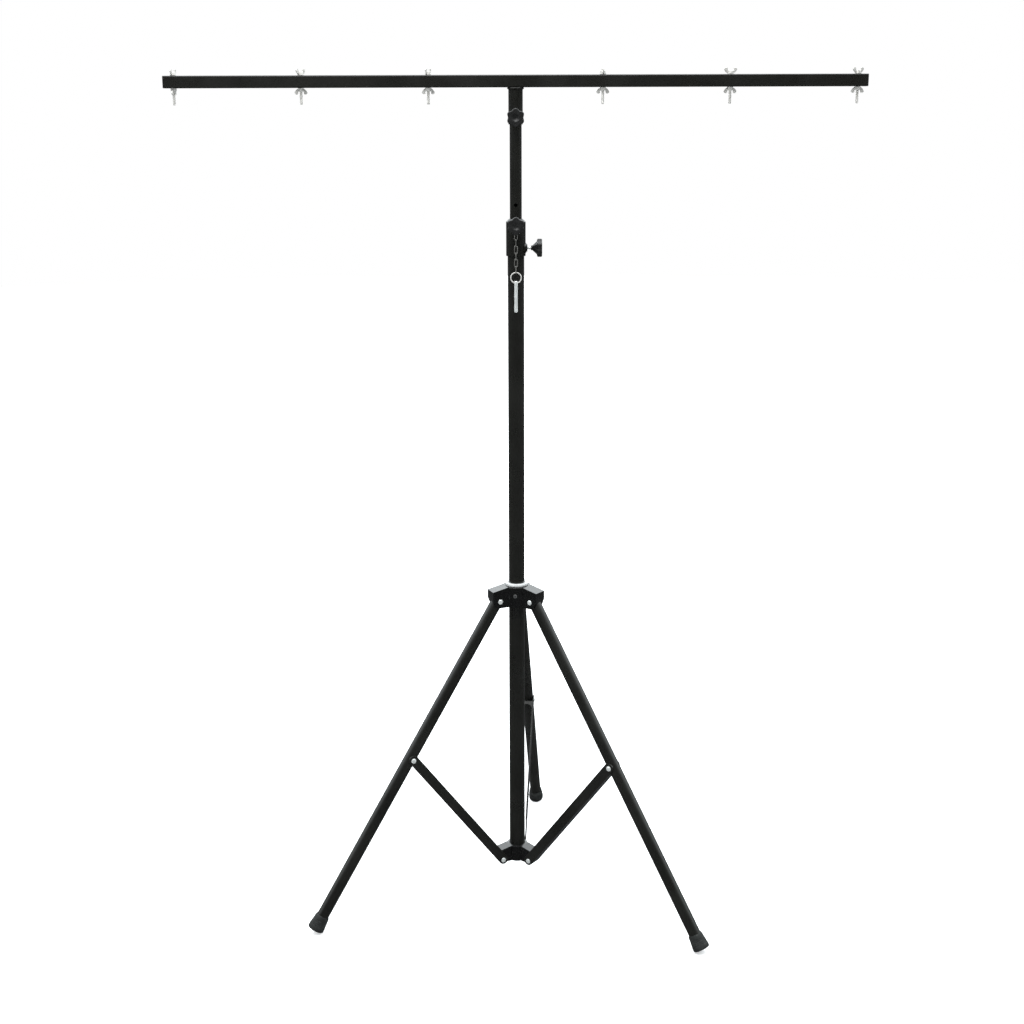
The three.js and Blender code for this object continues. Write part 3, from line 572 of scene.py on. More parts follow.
def makeMastTubes(size):
    profile = tubeProfile(size["outerBore"], size["outerRadius"], 0.0, size["outerLength"], size["lip"],
                          size["outerLoops"])
    finishPiece(turnedPiece("outerTube", profile, mastPlace), ["outer_tube"], "powderCoat")
    top = Matrix.Translation((0.0, mastY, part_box("inner_tube")[1][2]))
    holes = [-size["holeInset"] - size["holePitch"] * index for index in range(size["holeCount"])]
    loops = sorted(level + side for level in holes for side in (-size["holeLoop"], size["holeLoop"]))
    profile = tubeProfile(size["innerBore"], size["innerRadius"], -size["innerLength"], 0.0, size["lip"],
                          loops)
    tube = turnedPiece("innerTube", profile, top)
    tools = [rodPiece("hole", size["holeRadius"], 0.0, size["holeDepth"], lift(top, level) @ upright,
                      size["holeSides"]) for level in holes]
    combine(tube, tools, "DIFFERENCE")
    finishPiece(tube, ["inner_tube"], "powderCoat")
    print("mast tubes made")


makeMastTubes(tubes)


# Legs with their rubber feet
legs = {"radius": 13.5, "bore": 12.0, "end": -831.0, "lip": 0.3, "reach": 837.3, "endDepth": 2.0, "sides": 72,
        "loops": (-681.0, -431.0, -200.0, -24.0)}
feet = {"soleRadius": 16.65, "soleRise": 1.8, "radius": 18.55, "band": 8.0, "topRadius": 15.6, "height": 35.0,
        "lip": 1.0, "lipRise": 1.4, "bore": 13.8, "sole": 6.0, "ribs": 4, "ribStart": 3.0, "ribPitch": 4.0,
        "ribDepth": 0.7, "ribFoot": 0.7, "ribTop": 1.5, "ribEnd": 2.2, "ribEdge": 0.25,
        "lowEdges": (0.0, 0.6, 1.0, 0.8), "highEdges": (0.9, 0.5, 0.3)}


def roundedEnd(leg):
    def shift(x, y, z):
        if z < leg["radius"] - leg["endDepth"]:
            return x, y, z
        return x, y, math.sqrt(max(leg["radius"] * leg["radius"] - x * x, 0.0)) - (leg["radius"] - z)
    return shift


def footProfile(size):
    ribs = []
    slope = (size["radius"] - size["topRadius"]) / (size["height"] - size["band"])
    for index in range(size["ribs"]):
        low = size["band"] + size["ribStart"] + index * size["ribPitch"]
        outer = size["radius"] - slope * (low - size["band"])
        inner = outer - size["ribDepth"]
        ribs += [(outer, low), (inner, low + size["ribFoot"]), (inner, low + size["ribTop"]),
                 (outer - slope * size["ribEnd"], low + size["ribEnd"])]
    top = size["height"]
    corners = [(0.0, 0.0), (size["soleRadius"], 0.0), (size["radius"], size["soleRise"]),
               (size["radius"], size["band"]), *ribs, (size["topRadius"], top - size["lipRise"]),
               (size["topRadius"] - size["lip"], top), (size["bore"], top), (size["bore"], size["sole"]),
               (0.0, size["sole"])]
    return roundedPath(corners, (*size["lowEdges"], *[size["ribEdge"]] * len(ribs), *size["highEdges"]))


def makeLeg(number, leg, foot):
    place = legPlace(number)
    profile = tubeProfile(leg["bore"], leg["radius"], leg["end"], leg["radius"], leg["lip"], leg["loops"])
    tube = turnedPiece(f"legTube{number}", profile, place, leg["sides"], roundedEnd(leg))
    finishPiece(tube, [f"leg_tube_{number}"], "powderCoat")
    cap = turnedPiece(f"legFoot{number}", footProfile(foot), lift(place, -leg["reach"]), leg["sides"])
    finishPiece(cap, [f"leg_foot_{number}"], "footRubber")


for number in (1, 2, 3):
    makeLeg(number, legs, feet)
print("legs and feet made")


# Channel braces, each with a long opening in its web that runs out into the lower fork
braces = {"inside": 27.6, "wall": 1.5, "height": 22.0, "webSide": 12.0, "webStart": 8.0, "fork": 60.0,
          "softness": 0.55, "openingWidth": 24.8, "openingTop": 16.0, "openingFoot": 48.0, "cutReach": 40.0}


def makeBrace(number, size):
    place = bracePlace(number) @ upright
    end = size["height"] / 2
    middle = end - size["webSide"]
    length = linkage["braceLength"]
    outline = arcPoints(middle, 0.0, end, 0, 180) + arcPoints(middle, -length, end, 180, 360)
    half = size["inside"] / 2
    body = outlinePiece(f"brace{number}", outline, -half - size["wall"], half + size["wall"], place)
    face = size["wall"] - size["webSide"]
    far = size["cutReach"]
    hollow = [(-far, far), (-far, -size["webStart"]), (face, -size["webStart"]),
              (face, size["fork"] - length), (-far, size["fork"] - length), (-far, -length - far),
              (far, -length - far), (far, far)]
    radius = size["openingWidth"] / 2
    slot = (arcPoints(0.0, -size["openingTop"] - radius, radius, 0, 180)
            + arcPoints(0.0, size["openingFoot"] - length + radius, radius, 180, 360))
    opening = outlinePiece("opening", slot, -far, face + size["wall"], place @ alongX)
    combine(body, [outlinePiece("hollow", hollow, -half, half, place), opening], "DIFFERENCE")
    softenEdges(body, size["softness"])
    finishPiece(body, [f"brace_{number}"], "powderCoat")


for number in (1, 2, 3):
    makeBrace(number, braces)
print("braces made")


# Hub casting: a barrel and three roofed arms, open below for the legs
hubSize = {"bore": 21.3, "barrel": 31.0, "drop": 15.0, "rim": 26.0, "reach": 64.0, "roof": 31.5, "fall": 8.0,
           "roofWall": 3.0, "width": 31.6, "slot": 27.6, "pivot": 46.5, "ear": 15.0, "earTurn": -35.0,
           "earSteps": 10, "earRise": 5.0, "softness": 0.8, "barrelEdges": (0.4, 1.6, 0.0, 0.0, 0.4),
           "cutReach": 6.0}


def hubRoof(size, radius):
    return size["roof"] - size["fall"] * (radius - size["rim"]) / (size["reach"] - size["rim"])


def makeHub(size):
    centre = hubCentre()
    barrel = turnedPiece("hubCasting", roundedPath([
        (size["bore"], -size["drop"]), (size["barrel"], -size["drop"]),
        (size["barrel"], hubRoof(size, size["barrel"])), (size["rim"], size["roof"]),
        (size["bore"], size["roof"])], size["barrelEdges"]), centre)
    outline = [(size["rim"], -size["drop"]),
               *arcPoints(size["pivot"], 0.0, size["ear"], -90, size["earTurn"], size["earSteps"]),
               (size["reach"], size["earRise"]), (size["reach"], hubRoof(size, size["reach"])),
               (size["rim"], size["roof"])]
    far = size["reach"] + size["cutReach"]
    low = -size["drop"] - size["cutReach"]
    slot = [(size["barrel"], low), (far, low), (far, hubRoof(size, far) - size["roofWall"]),
            (size["barrel"], hubRoof(size, size["barrel"]) - size["roofWall"])]
    arms = []
    slots = []
    for number in (1, 2, 3):
        place = aboutMast(number, centre.translation.z) @ upright
        arms.append(outlinePiece("arm", outline, -size["width"] / 2, size["width"] / 2, place))
        slots.append(outlinePiece("slot", slot, -size["slot"] / 2, size["slot"] / 2, place))
    combine(barrel, arms, "UNION")
    combine(barrel, slots, "DIFFERENCE")
    softenEdges(barrel, size["softness"])
    finishPiece(barrel, ["hub"], "castGloss")
    print("hub made")


makeHub(hubSize)


# Nylon bush on the hub
bushSize = {"bore": 17.8, "sleeve": 21.0, "low": -15.0, "seat": 31.8, "rim": 26.0, "rise": 5.5,
            "edges": (0.3, 0.3, 0.0, 0.5, 2.4, 0.8), "steps": 6}


def makeHubBush(size):
    top = size["seat"] + size["rise"]
    profile = roundedPath([
        (size["bore"], size["low"]), (size["sleeve"], size["low"]), (size["sleeve"], size["seat"]),
        (size["rim"], size["seat"]), (size["rim"], top), (size["bore"], top)], size["edges"], size["steps"])
    finishPiece(turnedPiece("hubBush", profile, hubCentre()), ["hub_bush"], "paleNylon")


makeHubBush(bushSize)


# Lower collar with its three lugs
collarSize = {"bore": 17.8, "ring": 24.0, "height": 38.0, "fall": 7.0, "lugTop": 46.0, "pivot": 42.0,
              "lugEnd": 6.5, "lugSteps": 12, "lugWidth": 27.0, "softness": 0.7,
              "ringEdges": (0.4, 0.8, 0.0, 0.8)}


def collarRoof(size, radius):
    return size["height"] - size["fall"] * (radius - size["bore"]) / (size["lugTop"] - size["bore"])


def makeLowerCollar(size):
    middle = (size["bore"] + size["ring"]) / 2
    ring = turnedPiece("lowerCollar", roundedPath([
        (size["bore"], 0.0), (size["ring"], 0.0), (size["ring"], collarRoof(size, size["ring"])),
        (size["bore"], size["height"])], size["ringEdges"]), mastPlace)
    outline = [(middle, 0.0),
               *arcPoints(size["pivot"], size["lugEnd"], size["lugEnd"], -90, 0, size["lugSteps"]),
               (size["lugTop"], collarRoof(size, size["lugTop"])), (middle, collarRoof(size, middle))]
    lugs = [outlinePiece("lug", outline, -size["lugWidth"] / 2, size["lugWidth"] / 2,
                         aboutMast(number, mastFoot) @ upright) for number in (1, 2, 3)]
    combine(ring, lugs, "UNION")
    softenEdges(ring, size["softness"])
    finishPiece(ring, ["lower_collar"], "castGloss")
    print("lower collar made")


makeLowerCollar(collarSize)


# The boss round the hole of a clamp screw
bossSize = {"hole": 3.3, "foot": 11.0, "footRise": 2.6, "radius": 8.5, "bevel": 1.8, "step": 1.2, "sides": 48,
            "edges": (0.0, 0.0, 0.4, 1.0, 0.5, 0.2)}


def makeBoss(size, root, face, place):
    return turnedPiece("boss", roundedPath([
        (size["hole"], root), (size["foot"], root), (size["foot"], root + size["footRise"]),
        (size["radius"], face - size["bevel"]), (size["radius"] - size["step"], face),
        (size["hole"], face)], size["edges"]), place, size["sides"])


# Clamp collar: a stepped sleeve with a boss for each clamp screw
clampSize = {"base": 1391.0, "bore": 17.8, "radius": 20.6, "height": 77.0, "shoulder": 6.0, "neck": 14.6,
             "neckBore": 12.8, "lip": 5.0, "seat": 46.0, "bushBore": 16.0, "bossRoot": 18.1, "bossFace": 24.3,
             "sideRise": 16.6, "frontRise": 65.0, "edges": (0.4, 0.9, 1.2, 1.2, 0.3)}
sideScrew = towards(0, clampSize["base"] + clampSize["sideRise"])
frontScrew = towards(-90, clampSize["base"] + clampSize["frontRise"])


def makeClampCollar(size):
    top = size["height"]
    body = turnedPiece("clampCollar", roundedPath([
        (size["bore"], 0.0), (size["radius"], 0.0), (size["radius"], top - size["shoulder"]),
        (size["neck"], top), (size["neckBore"], top), (size["neckBore"], top - size["lip"]),
        (size["bushBore"], top - size["lip"]), (size["bushBore"], size["seat"]),
        (size["bore"], size["seat"])], size["edges"]), lift(mastPlace, size["base"]))
    bosses = [makeBoss(bossSize, size["bossRoot"], size["bossFace"], place)
              for place in (sideScrew, frontScrew)]
    combine(body, bosses, "UNION")
    finishPiece(body, ["clamp_collar"], "powderCoat")
    print("clamp collar made")


makeClampCollar(clampSize)


# Threaded rods: a tapered tip below, and above a root that is hidden in the head
threadSize = {"core": 2.55, "ridge": 0.42, "pitch": 1.0}
threadSteel = threadTree(materials["zincPlate"])


def threadedRod(name, ends, reach):
    core = threadSize["core"]
    low = ends["tipRise"] - reach
    rod = turnedPiece(name, roundedPath([
        (0.0, -reach), (core - ends["tipTaper"], -reach), (core, low), (core, ends["root"]),
        (0.0, ends["root"])], (0.0, ends["tipEdge"], ends["tipEdge"])), unmoved, rodSides)
    return growTree(rod, threadSteel, {
        "Core Radius": core * mm, "Ridge Radius": threadSize["ridge"] * mm, "Pitch": threadSize["pitch"] * mm,
        "Length": (reach - ends["plain"]) * mm, "Low End": low * mm})


# Clamp knobs: a six-lobed head on a tapered neck, with a threaded screw
knobSize = {"radius": 19.0, "depth": 23.6, "head": 11.0, "neck": 5.0, "neckShare": 0.25, "flareRise": 0.8,
            "lobes": 6, "lobeDepth": 3.0, "lobeFade": 1.5, "flareIn": 5.2, "dish": 8.0, "dishLip": 0.8,
            "dishDepth": 2.5, "dishSteps": 8, "edges": (0.0, 0.8, 2.0, 1.5, 2.2, 2.2, 0.7), "sides": 144,
            "screwTip": 12.8, "collarStart": 31.7, "socketStart": 26.0}
knobScrewEnds = {"tipRise": 1.0, "tipTaper": 0.6, "tipEdge": 0.2, "root": 0.5, "plain": 2.0}


def knobShift(size):
    def shift(x, y, z):
        radius = math.hypot(x, y)
        share = (radius - size["dish"] + size["lobeFade"]) / (size["radius"] - size["dish"])
        wave = size["lobeDepth"] * (1 - math.cos(size["lobes"] * math.atan2(y, x))) / 2
        hollow = wave * min(max(share, 0.0), 1.0)
        return x * (radius - hollow) / radius, y * (radius - hollow) / radius, z
    return shift


def makeKnob(name, nodeName, place, start, size):
    depth = size["depth"]
    low = depth - size["head"]
    flare = size["radius"] - size["flareIn"]
    shares = [step / size["dishSteps"] for step in range(size["dishSteps"] - 1, 0, -1)]
    dish = [(size["dish"] * share, depth - size["dishDepth"] * (1 - share ** 2)) for share in shares]
    profile = roundedPath([
        (0.0, 0.0), (size["neck"], 0.0), (size["neck"], low * size["neckShare"]), (flare, low),
        (size["radius"], low + size["flareRise"]), (size["radius"], depth),
        (size["dish"] + size["dishLip"], depth), *dish, (0.0, depth - size["dishDepth"])],
        size["edges"], fineSteps)
    head = turnedPiece(name, profile, unmoved, size["sides"], knobShift(size))
    screw = threadedRod(name + "Screw", knobScrewEnds, start - size["screwTip"])
    for piece in (screw, head):
        piece.data.transform(lift(place, start))
    finishPiece(head, [nodeName], "mouldedPlastic")
    smoothFaces(screw, threadAngle)
    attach(screw, bodyOf[nodeName])


barLow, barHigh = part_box("crossbar")
barCentre = (barLow[2] + barHigh[2]) / 2
socketScrewRise = 14.0
socketScrew = towards(-90, (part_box("crossbar_socket")[0][2] - mastFoot) / mm + socketScrewRise)
makeKnob("sideClampKnob", "side_clamp_knob", sideScrew, knobSize["collarStart"], knobSize)
makeKnob("frontClampKnob", "front_clamp_knob", frontScrew, knobSize["collarStart"], knobSize)
makeKnob("crossbarKnob", "crossbar_knob", socketScrew, knobSize["socketStart"], knobSize)
print("knobs made")


# Crossbar with its caps
barSize = {"length": 1450.0, "side": 25.0, "wall": 1.5, "corner": 2.4, "cap": 2.5, "capGap": 0.3,
           "boltHole": 3.3, "boltInset": 20.0, "boltPitch": 262.5, "plug": 14.0, "plugPlay": 0.6,
           "plugOverlap": 0.4, "capDome": 0.9, "cutReach": 5.0, "drillReach": 20.0}
barPlace = Matrix.Translation((0.0, mastY, barCentre))


def squarePiece(name, side, corner, low, high, place):
    half = side / 2
    square = roundedPath([(-half, -half), (half, -half), (half, half), (-half, half)], [corner] * 4,
                         fineSteps)
    return outlinePiece(name, square, low, high, place)


def boltStations(size):
    ends = [size["length"] / 2 - size["boltInset"] - index * size["boltPitch"] for index in range(3)]
    return sorted([-end for end in ends] + ends)


def makeCrossbar(size):
    reach = size["length"] / 2 - size["cap"] - size["capGap"]
    cut = reach + size["cutReach"]
    inner = size["side"] - 2 * size["wall"]
    bar = squarePiece("crossbarTube", size["side"], size["corner"], -reach, reach, barPlace @ alongX)
    inside = squarePiece("inside", inner, size["corner"] / 2, -cut, cut, barPlace @ alongX)
    combine(bar, [inside], "DIFFERENCE")
    holes = [rodPiece("hole", size["boltHole"], -size["drillReach"], size["drillReach"],
                      barPlace @ Matrix.Translation((station * mm, 0.0, 0.0)))
             for station in boltStations(size)]
    combine(bar, holes, "DIFFERENCE")
    finishPiece(bar, ["crossbar"], "powderCoat")
    low = size["length"] / 2 - size["cap"]
    for name, nodeName, turn in (("capRight", "crossbar_cap_right", 0.0),
                                 ("capLeft", "crossbar_cap_left", math.pi)):
        place = barPlace @ Matrix.Rotation(turn, 4, "Z") @ alongX
        flange = squarePiece(name, size["side"], size["corner"], low, low + size["cap"], place)
        softenEdges(flange, size["capDome"], 4, domeAngle)
        plug = squarePiece("plug", inner - size["plugPlay"], size["corner"] / 2, low - size["plug"],
                           low + size["plugOverlap"], place)
        finishPiece(joinPieces(name, [flange, plug]), [nodeName], "mouldedPlastic")
    print("crossbar made")


makeCrossbar(barSize)


# Socket under the bar, with a flared top and a weld bead
socketSize = {"bore": 12.8, "radius": 14.9, "length": 74.0, "top": -12.8, "flareRise": 2.6, "flareFoot": 0.6,
              "flareTop": 2.0, "bossRoot": 13.2, "bossFace": 18.6, "beadOut": 0.7, "beadDrop": 1.6,
              "edges": (0.4, 0.6, 0.0, 1.0)}
beadSize = {"Bead": 1.5 * mm, "Ripple": 0.35 * mm, "Ripples": 46.0, "Seed": 3}


def makeSocket(size):
    top = size["top"]
    low = top - size["length"]
    sleeve = turnedPiece("crossbarSocket", roundedPath([
        (size["bore"], low), (size["radius"], low), (size["radius"], top - 2 * size["flareRise"]),
        (size["radius"] + size["flareFoot"], top - size["flareRise"]),
        (size["radius"] + size["flareTop"], top), (size["bore"], top)], size["edges"]), barPlace)
    combine(sleeve, [makeBoss(bossSize, size["bossRoot"], size["bossFace"], socketScrew)], "UNION")
    bead = growTree(addObject("bead", bpy.data.meshes.new("bead")), weldTree(materials["powderCoat"]),
                    {"Radius": (size["radius"] + size["beadOut"]) * mm, **beadSize})
    bead.data.transform(lift(barPlace, top - size["beadDrop"]))
    finishPiece(joinPieces("crossbarSocket", [sleeve, bead]), ["crossbar_socket"], "powderCoat")
    print("socket made")


makeSocket(socketSize)


# Fixture bolts and wing nuts, each turned as it stands in the photograph
wingSize = {"span": 27.0, "rise": 13.0, "thickness": 2.6, "base": 6.5, "baseRise": 7.0, "baseTaper": 1.2,
            "baseEdges": (0.0, 0.5, 0.9), "rootShare": 0.12, "lobe": 0.33, "softness": 1.1, "seatGap": 0.3,
            "lobeTurn": 135.0, "lobeSteps": 12, "sides": 48, "boltReach": 59.3, "nutHole": 3.3,
            "holeLow": -5.0, "holeHigh": 20.0,
            "boltTurns": (0.42, 0.30, 0.38, 0.52, 0.02, 0.14),
            "nutTurns": (0.46, 0.12, 0.10, 0.06, 0.04, 0.02)}
boltEnds = {"tipRise": 1.2, "tipTaper": 0.7, "tipEdge": 0.3, "root": 2.0, "plain": 3.0}


def wingOutline(size):
    half = size["span"] / 2
    lobe = size["rise"] * size["lobe"]
    out = half - lobe
    up = size["rise"] - lobe
    low = size["baseRise"] * size["rootShare"]
    high = size["baseRise"] * (1 - size["rootShare"])
    root = size["base"] / 2
    right = [(root, low), *bowPoints((root, low), (out, low), (half, up)),
             *arcPoints(out, up, lobe, 0, size["lobeTurn"], size["lobeSteps"])[1:]]
    right += bowPoints(right[-1], (size["base"], high), (root, high))
    return right + [(-x, y) for x, y in reversed(right)]


def wingBody(name, size):
    wings = outlinePiece(name, wingOutline(size), -size["thickness"] / 2, size["thickness"] / 2, upright)
    softenEdges(wings, size["softness"], 4, domeAngle)
    base = turnedPiece("base", roundedPath([
        (0.0, 0.0), (size["base"], 0.0), (size["base"] - size["baseTaper"], size["baseRise"]),
        (0.0, size["baseRise"])], size["baseEdges"], fineSteps), unmoved, size["sides"])
    return combine(wings, [base], "UNION")


def makeFixtures(size):
    top = barHigh[2] + size["seatGap"] * mm
    bottom = barLow[2] - size["seatGap"] * mm
    for index, station in enumerate(boltStations(barSize)):
        bolt = wingBody(f"fixtureBolt{index + 1}", size)
        bolt = joinPieces(bolt.name, [bolt, threadedRod("shank", boltEnds, size["boltReach"])])
        turn = Matrix.Rotation(math.pi * size["boltTurns"][index], 4, "Z")
        bolt.data.transform(Matrix.Translation((station * mm, mastY, top)) @ turn)
        finishPiece(bolt, [f"fixture_bolt_{index + 1}"], "brightZinc")
        nut = wingBody(f"wingNut{index + 1}", size)
        hole = rodPiece("hole", size["nutHole"], size["holeLow"], size["holeHigh"], unmoved)
        combine(nut, [hole], "DIFFERENCE")
        turn = Matrix.Rotation(math.pi * size["nutTurns"][index], 4, "Z") @ Matrix.Rotation(math.pi, 4, "X")
        nut.data.transform(Matrix.Translation((station * mm, mastY, bottom)) @ turn)
        finishPiece(nut, [f"wing_nut_{index + 1}"], "brightZinc")
    print("bolts and wing nuts made")


makeFixtures(wingSize)


# Rivets with domed heads, and the hub's lock screw with its hexagon socket
rivetSize = {"shank": 3.0, "head": 5.6, "headEdge": 0.3, "rise": 2.6, "steps": 8, "hubGrip": 16.1,
             "legGrip": 15.6, "stub": 13.8, "sides": 40}
lockScrewSize = {"height": 12.5, "low": 17.8, "shank": 2.5, "seatGap": 0.3, "head": 4.2, "rise": 3.0,
                 "hexKey": 1.8, "hexDepth": 1.6, "hexOver": 2.0, "edges": (0.0, 0.0, 0.0, 0.3, 0.7),
                 "sides": 40}


def domeProfile(size, seat):
    edge = size["headEdge"]
    quarter = [step * math.pi / 2 / size["steps"] for step in range(size["steps"])]
    dome = [(size["head"] * math.cos(turn), seat + edge + (size["rise"] - edge) * math.sin(turn))
            for turn in quarter]
    return [(size["head"], seat), *dome, (0.0, seat + size["rise"])]


def rivetProfile(size, grip):
    upper = domeProfile(size, grip)
    lower = [(radius, -height) for radius, height in reversed(upper)]
    return [*lower, (size["shank"], -grip), (size["shank"], grip), *upper]


def makeRivets(size):
    rivets = turnedPiece("hubRivets", rivetProfile(size, size["hubGrip"]), upright, size["sides"])
    outward = armPlace(1).to_3x3() @ Vector((1.0, 0.0, 0.0))
    growTree(rivets, ringPatternTree(materials["zincPlate"]), {
        "Count": 3, "Radius": hubSize["pivot"] * mm, "Start Angle": math.atan2(outward.y, outward.x)})
    rivets.data.transform(hubCentre())
    finishPiece(rivets, ["hub_rivet_1", "hub_rivet_2", "hub_rivet_3"], "zincPlate")
    stub = [(0.0, size["stub"]), (size["shank"], size["stub"]), (size["shank"], size["legGrip"]),
            *domeProfile(size, size["legGrip"])]
    for number in (1, 2, 3):
        brace = bracePlace(number)
        legRivet = turnedPiece(f"legRivet{number}", rivetProfile(size, size["legGrip"]), brace @ upright,
                               size["sides"])
        finishPiece(legRivet, [f"leg_rivet_{number}"], "zincPlate")
        low = lift(brace, -linkage["braceLength"])
        for name, nodeName, turn in ((f"lowerRivetHead{number}", f"lower_rivet_head_{number}", math.pi / 2),
                                     (f"lowerRivetTail{number}", f"lower_rivet_tail_{number}", -math.pi / 2)):
            end = turnedPiece(name, stub, low @ Matrix.Rotation(turn, 4, "X"), size["sides"])
            finishPiece(end, [nodeName], "zincPlate")


def makeLockScrew(size):
    height = hubCentre().translation.z + size["height"] * mm
    front = aboutMast(1, height) @ Matrix.Rotation(-math.pi / 2, 4, "Y")
    seat = hubSize["barrel"] + size["seatGap"]
    crown = seat + size["rise"]
    screw = turnedPiece("hubLockScrew", roundedPath([
        (0.0, size["low"]), (size["shank"], size["low"]), (size["shank"], seat), (size["head"], seat),
        (size["head"], crown), (0.0, crown)], size["edges"], fineSteps), front, size["sides"])
    key = rodPiece("key", size["hexKey"], crown - size["hexDepth"], crown + size["hexOver"], front, 6)
    combine(screw, [key], "DIFFERENCE")
    finishPiece(screw, ["hub_lock_screw"], "dullSteel")


makeRivets(rivetSize)
makeLockScrew(lockScrewSize)
print("rivets made")


# Safety pin with its ring and chain
pinSize = {"width": 8.0, "inside": 14.3, "wire": 2.0, "pitch": 14.0, "links": 6, "ringRadius": 11.0,
           "ringWire": 1.25, "wireSides": 18, "radius": 3.6, "eye": 2.0, "eyeInset": 3.9,
           "eyeReach": 8.0, "length": 66.0, "chamfer": 1.2, "edges": (0.0, 0.5, 0.5, 0.5, 0.5), "sides": 48}


def makePin(size):
    chain = addObject("pinChain", bpy.data.meshes.new("pinChain"))
    growTree(chain, chainTree(materials["chainSteel"]), {
        "Width": size["width"] * mm, "Inside": size["inside"] * mm, "Wire": size["wire"] * mm,
        "Pitch": size["pitch"] * mm, "Count": size["links"]})
    low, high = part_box("chain_link_1")
    plane = (low[1] + high[1]) / 2
    chain.data.transform(Matrix.Translation((0.0, plane, high[2] - size["wire"] * mm)))
    finishPiece(chain, [f"chain_link_{index}" for index in range(1, size["links"] + 1)], "chainSteel")
    low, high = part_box("pin_ring")
    ringPlace = Matrix.Translation((0.0, plane, (low[2] + high[2]) / 2)) @ upright
    turns = [step * math.pi / (size["wireSides"] / 2) for step in range(size["wireSides"])]
    wire = [(size["ringRadius"] + size["ringWire"] * math.cos(turn), size["ringWire"] * math.sin(turn))
            for turn in turns]
    finishPiece(turnedPiece("pinRing", wire, ringPlace), ["pin_ring"], "brightZinc")
    place = Matrix.Translation((0.0, plane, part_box("safety_pin")[1][2] - size["eyeInset"] * mm))
    top = size["eyeInset"]
    tip = top - size["length"]
    thin = size["radius"] - size["chamfer"]
    rod = turnedPiece("safetyPin", roundedPath([
        (0.0, tip), (thin, tip), (size["radius"], tip + size["chamfer"]),
        (size["radius"], top - size["chamfer"]), (thin, top), (0.0, top)], size["edges"], fineSteps),
        place, size["sides"])
    eye = rodPiece("eye", size["eye"], -size["eyeReach"], size["eyeReach"], place @ alongX)
    combine(rod, [eye], "DIFFERENCE")
    finishPiece(rod, ["safety_pin"], "zincPlate")
    print("pin, ring and chain made")


makePin(pinSize)

# Inner pieces keep their solids' shapes, with softer edges
innerEdges = {"mast_end_plug": 0.4, "clamp_bush": 0.3, "inner_guide": 0.4, "chain_screw": 0.2}
for nodeName, width in innerEdges.items():
    finishPiece(softenedCopy(nodeName, width), [nodeName], slotMaterial[slotOf[nodeName]])
print("inner pieces made")


# Floor: it glows a little for the camera alone, and keeps the stand's shadow
floorSetup = {"colour": grey(0.80), "nearGlow": 0.42, "farGlow": 1.0, "nearRadius": 0.7, "farRadius": 2.6,
              "sheen": 0.06, "radius": 14.0, "drop": 0.0005, "sides": 96}


def makeFloor(setup):
    material, tree = startMaterial("studioFloor")
    path = addNode(tree, "ShaderNodeLightPath").outputs
    dim = mixColour(tree, path["Is Glossy Ray"], grey(1.0), grey(setup["sheen"]))
    shade = mixColour(tree, 1.0, setup["colour"], dim, "MULTIPLY")
    diffuse = addNode(tree, "ShaderNodeBsdfDiffuse", {"Color": shade})
    place = addNode(tree, "ShaderNodeTexCoord").outputs["Object"]
    reach = addNode(tree, "ShaderNodeVectorMath", {0: place}, operation="LENGTH").outputs["Value"]
    spread = rangeOf(tree, reach, setup["nearRadius"], setup["farRadius"], setup["nearGlow"],
                     setup["farGlow"])
    seen = mathNode(tree, "MULTIPLY", spread, path["Is Camera Ray"])
    glow = addNode(tree, "ShaderNodeEmission", {"Color": grey(1.0), "Strength": seen})
    both = addNode(tree, "ShaderNodeAddShader", {0: diffuse.outputs[0], 1: glow.outputs[0]})
    addNode(tree, "ShaderNodeOutputMaterial", {"Surface": both.outputs[0]})
    shape = bmesh.new()
    bmesh.ops.create_circle(shape, cap_ends=True, segments=setup["sides"], radius=setup["radius"])
    floor = objectFrom("studioFloor", shape)
    floor.location.z = -setup["drop"]
    floor.data.materials.append(material)


# World: white for the camera, and for the stand a soft light from above and behind
worldSetup = {"frontLight": 0.04, "backLight": 2.6, "leanLow": -0.5, "leanHigh": 0.55, "leanRise": 0.8,
              "riseLow": 0.03, "riseHigh": 0.26, "colour": grey(1.0, (0.93, 0.98, 1.0))}


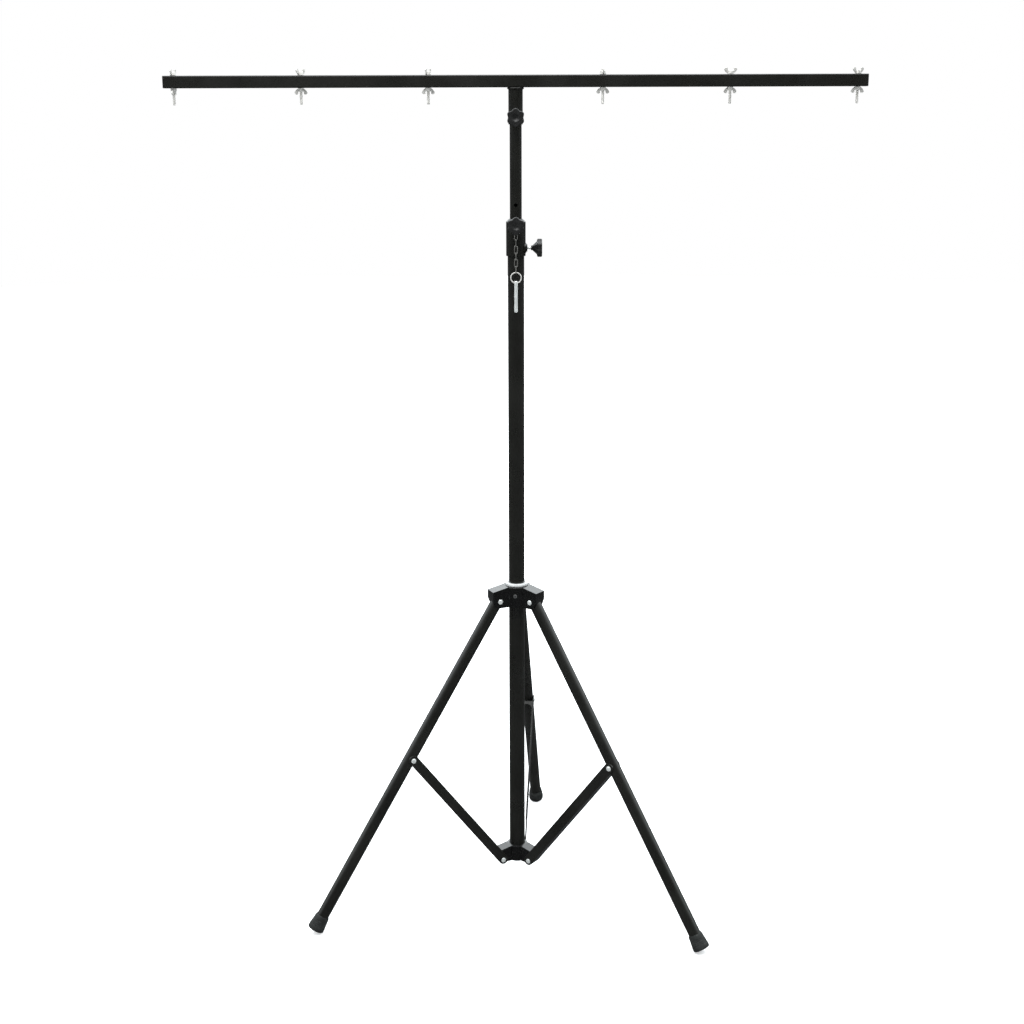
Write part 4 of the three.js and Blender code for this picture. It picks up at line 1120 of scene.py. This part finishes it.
def makeWorld(setup):
    world = bpy.data.worlds.new("studioWorld")
    bpy.context.scene.world = world
    world.use_nodes = True
    tree = world.node_tree
    tree.nodes.clear()
    path = addNode(tree, "ShaderNodeLightPath").outputs
    seen = mathNode(tree, "MAXIMUM", path["Is Camera Ray"], path["Is Transmission Ray"])
    direction = addNode(tree, "ShaderNodeTexCoord").outputs["Generated"]
    parts = addNode(tree, "ShaderNodeSeparateXYZ", {"Vector": direction}).outputs
    lean = mathNode(tree, "MULTIPLY_ADD", parts["Z"], setup["leanRise"], parts["Y"])
    behind = rangeOf(tree, lean, setup["leanLow"], setup["leanHigh"], interpolation_type="SMOOTHSTEP")
    above = rangeOf(tree, parts["Z"], setup["riseLow"], setup["riseHigh"], interpolation_type="SMOOTHSTEP")
    share = mathNode(tree, "MULTIPLY", behind, above)
    around = rangeOf(tree, share, 0.0, 1.0, setup["frontLight"], setup["backLight"])
    strength = addNode(tree, "ShaderNodeMix", {0: seen, 2: around, 3: 1.0})
    tone = mixColour(tree, seen, setup["colour"], grey(1.0))
    background = addNode(tree, "ShaderNodeBackground", {"Color": tone, "Strength": strength.outputs[0]})
    addNode(tree, "ShaderNodeOutputWorld", {"Surface": background.outputs[0]})


# Lamps: places are from the foot of the mast, and both look at the same height on it
lampAim = (0.0, 0.0, 0.9)
lamps = {"topLamp": {"place": (0.0, -1.0, 3.6), "power": 52.0, "size": 1.6},
         "frontLamp": {"place": (-1.0, -2.5, 3.4), "power": 26.0, "size": 1.5}}


def makeLamps():
    for name, setup in lamps.items():
        data = bpy.data.lights.new(name, "AREA")
        data.energy = setup["power"]
        data.size = setup["size"]
        lamp = bpy.data.objects.new(name, data)
        lamp.location = Vector((0.0, mastY, 0.0)) + Vector(setup["place"])
        aim = Vector(lampAim) - Vector(setup["place"])
        lamp.rotation_euler = aim.to_track_quat("-Z", "Y").to_euler()
        bpy.context.collection.objects.link(lamp)


makeFloor(floorSetup)
makeWorld(worldSetup)
makeLamps()
bpy.context.scene.view_settings.view_transform = "Standard"
print("studio built")
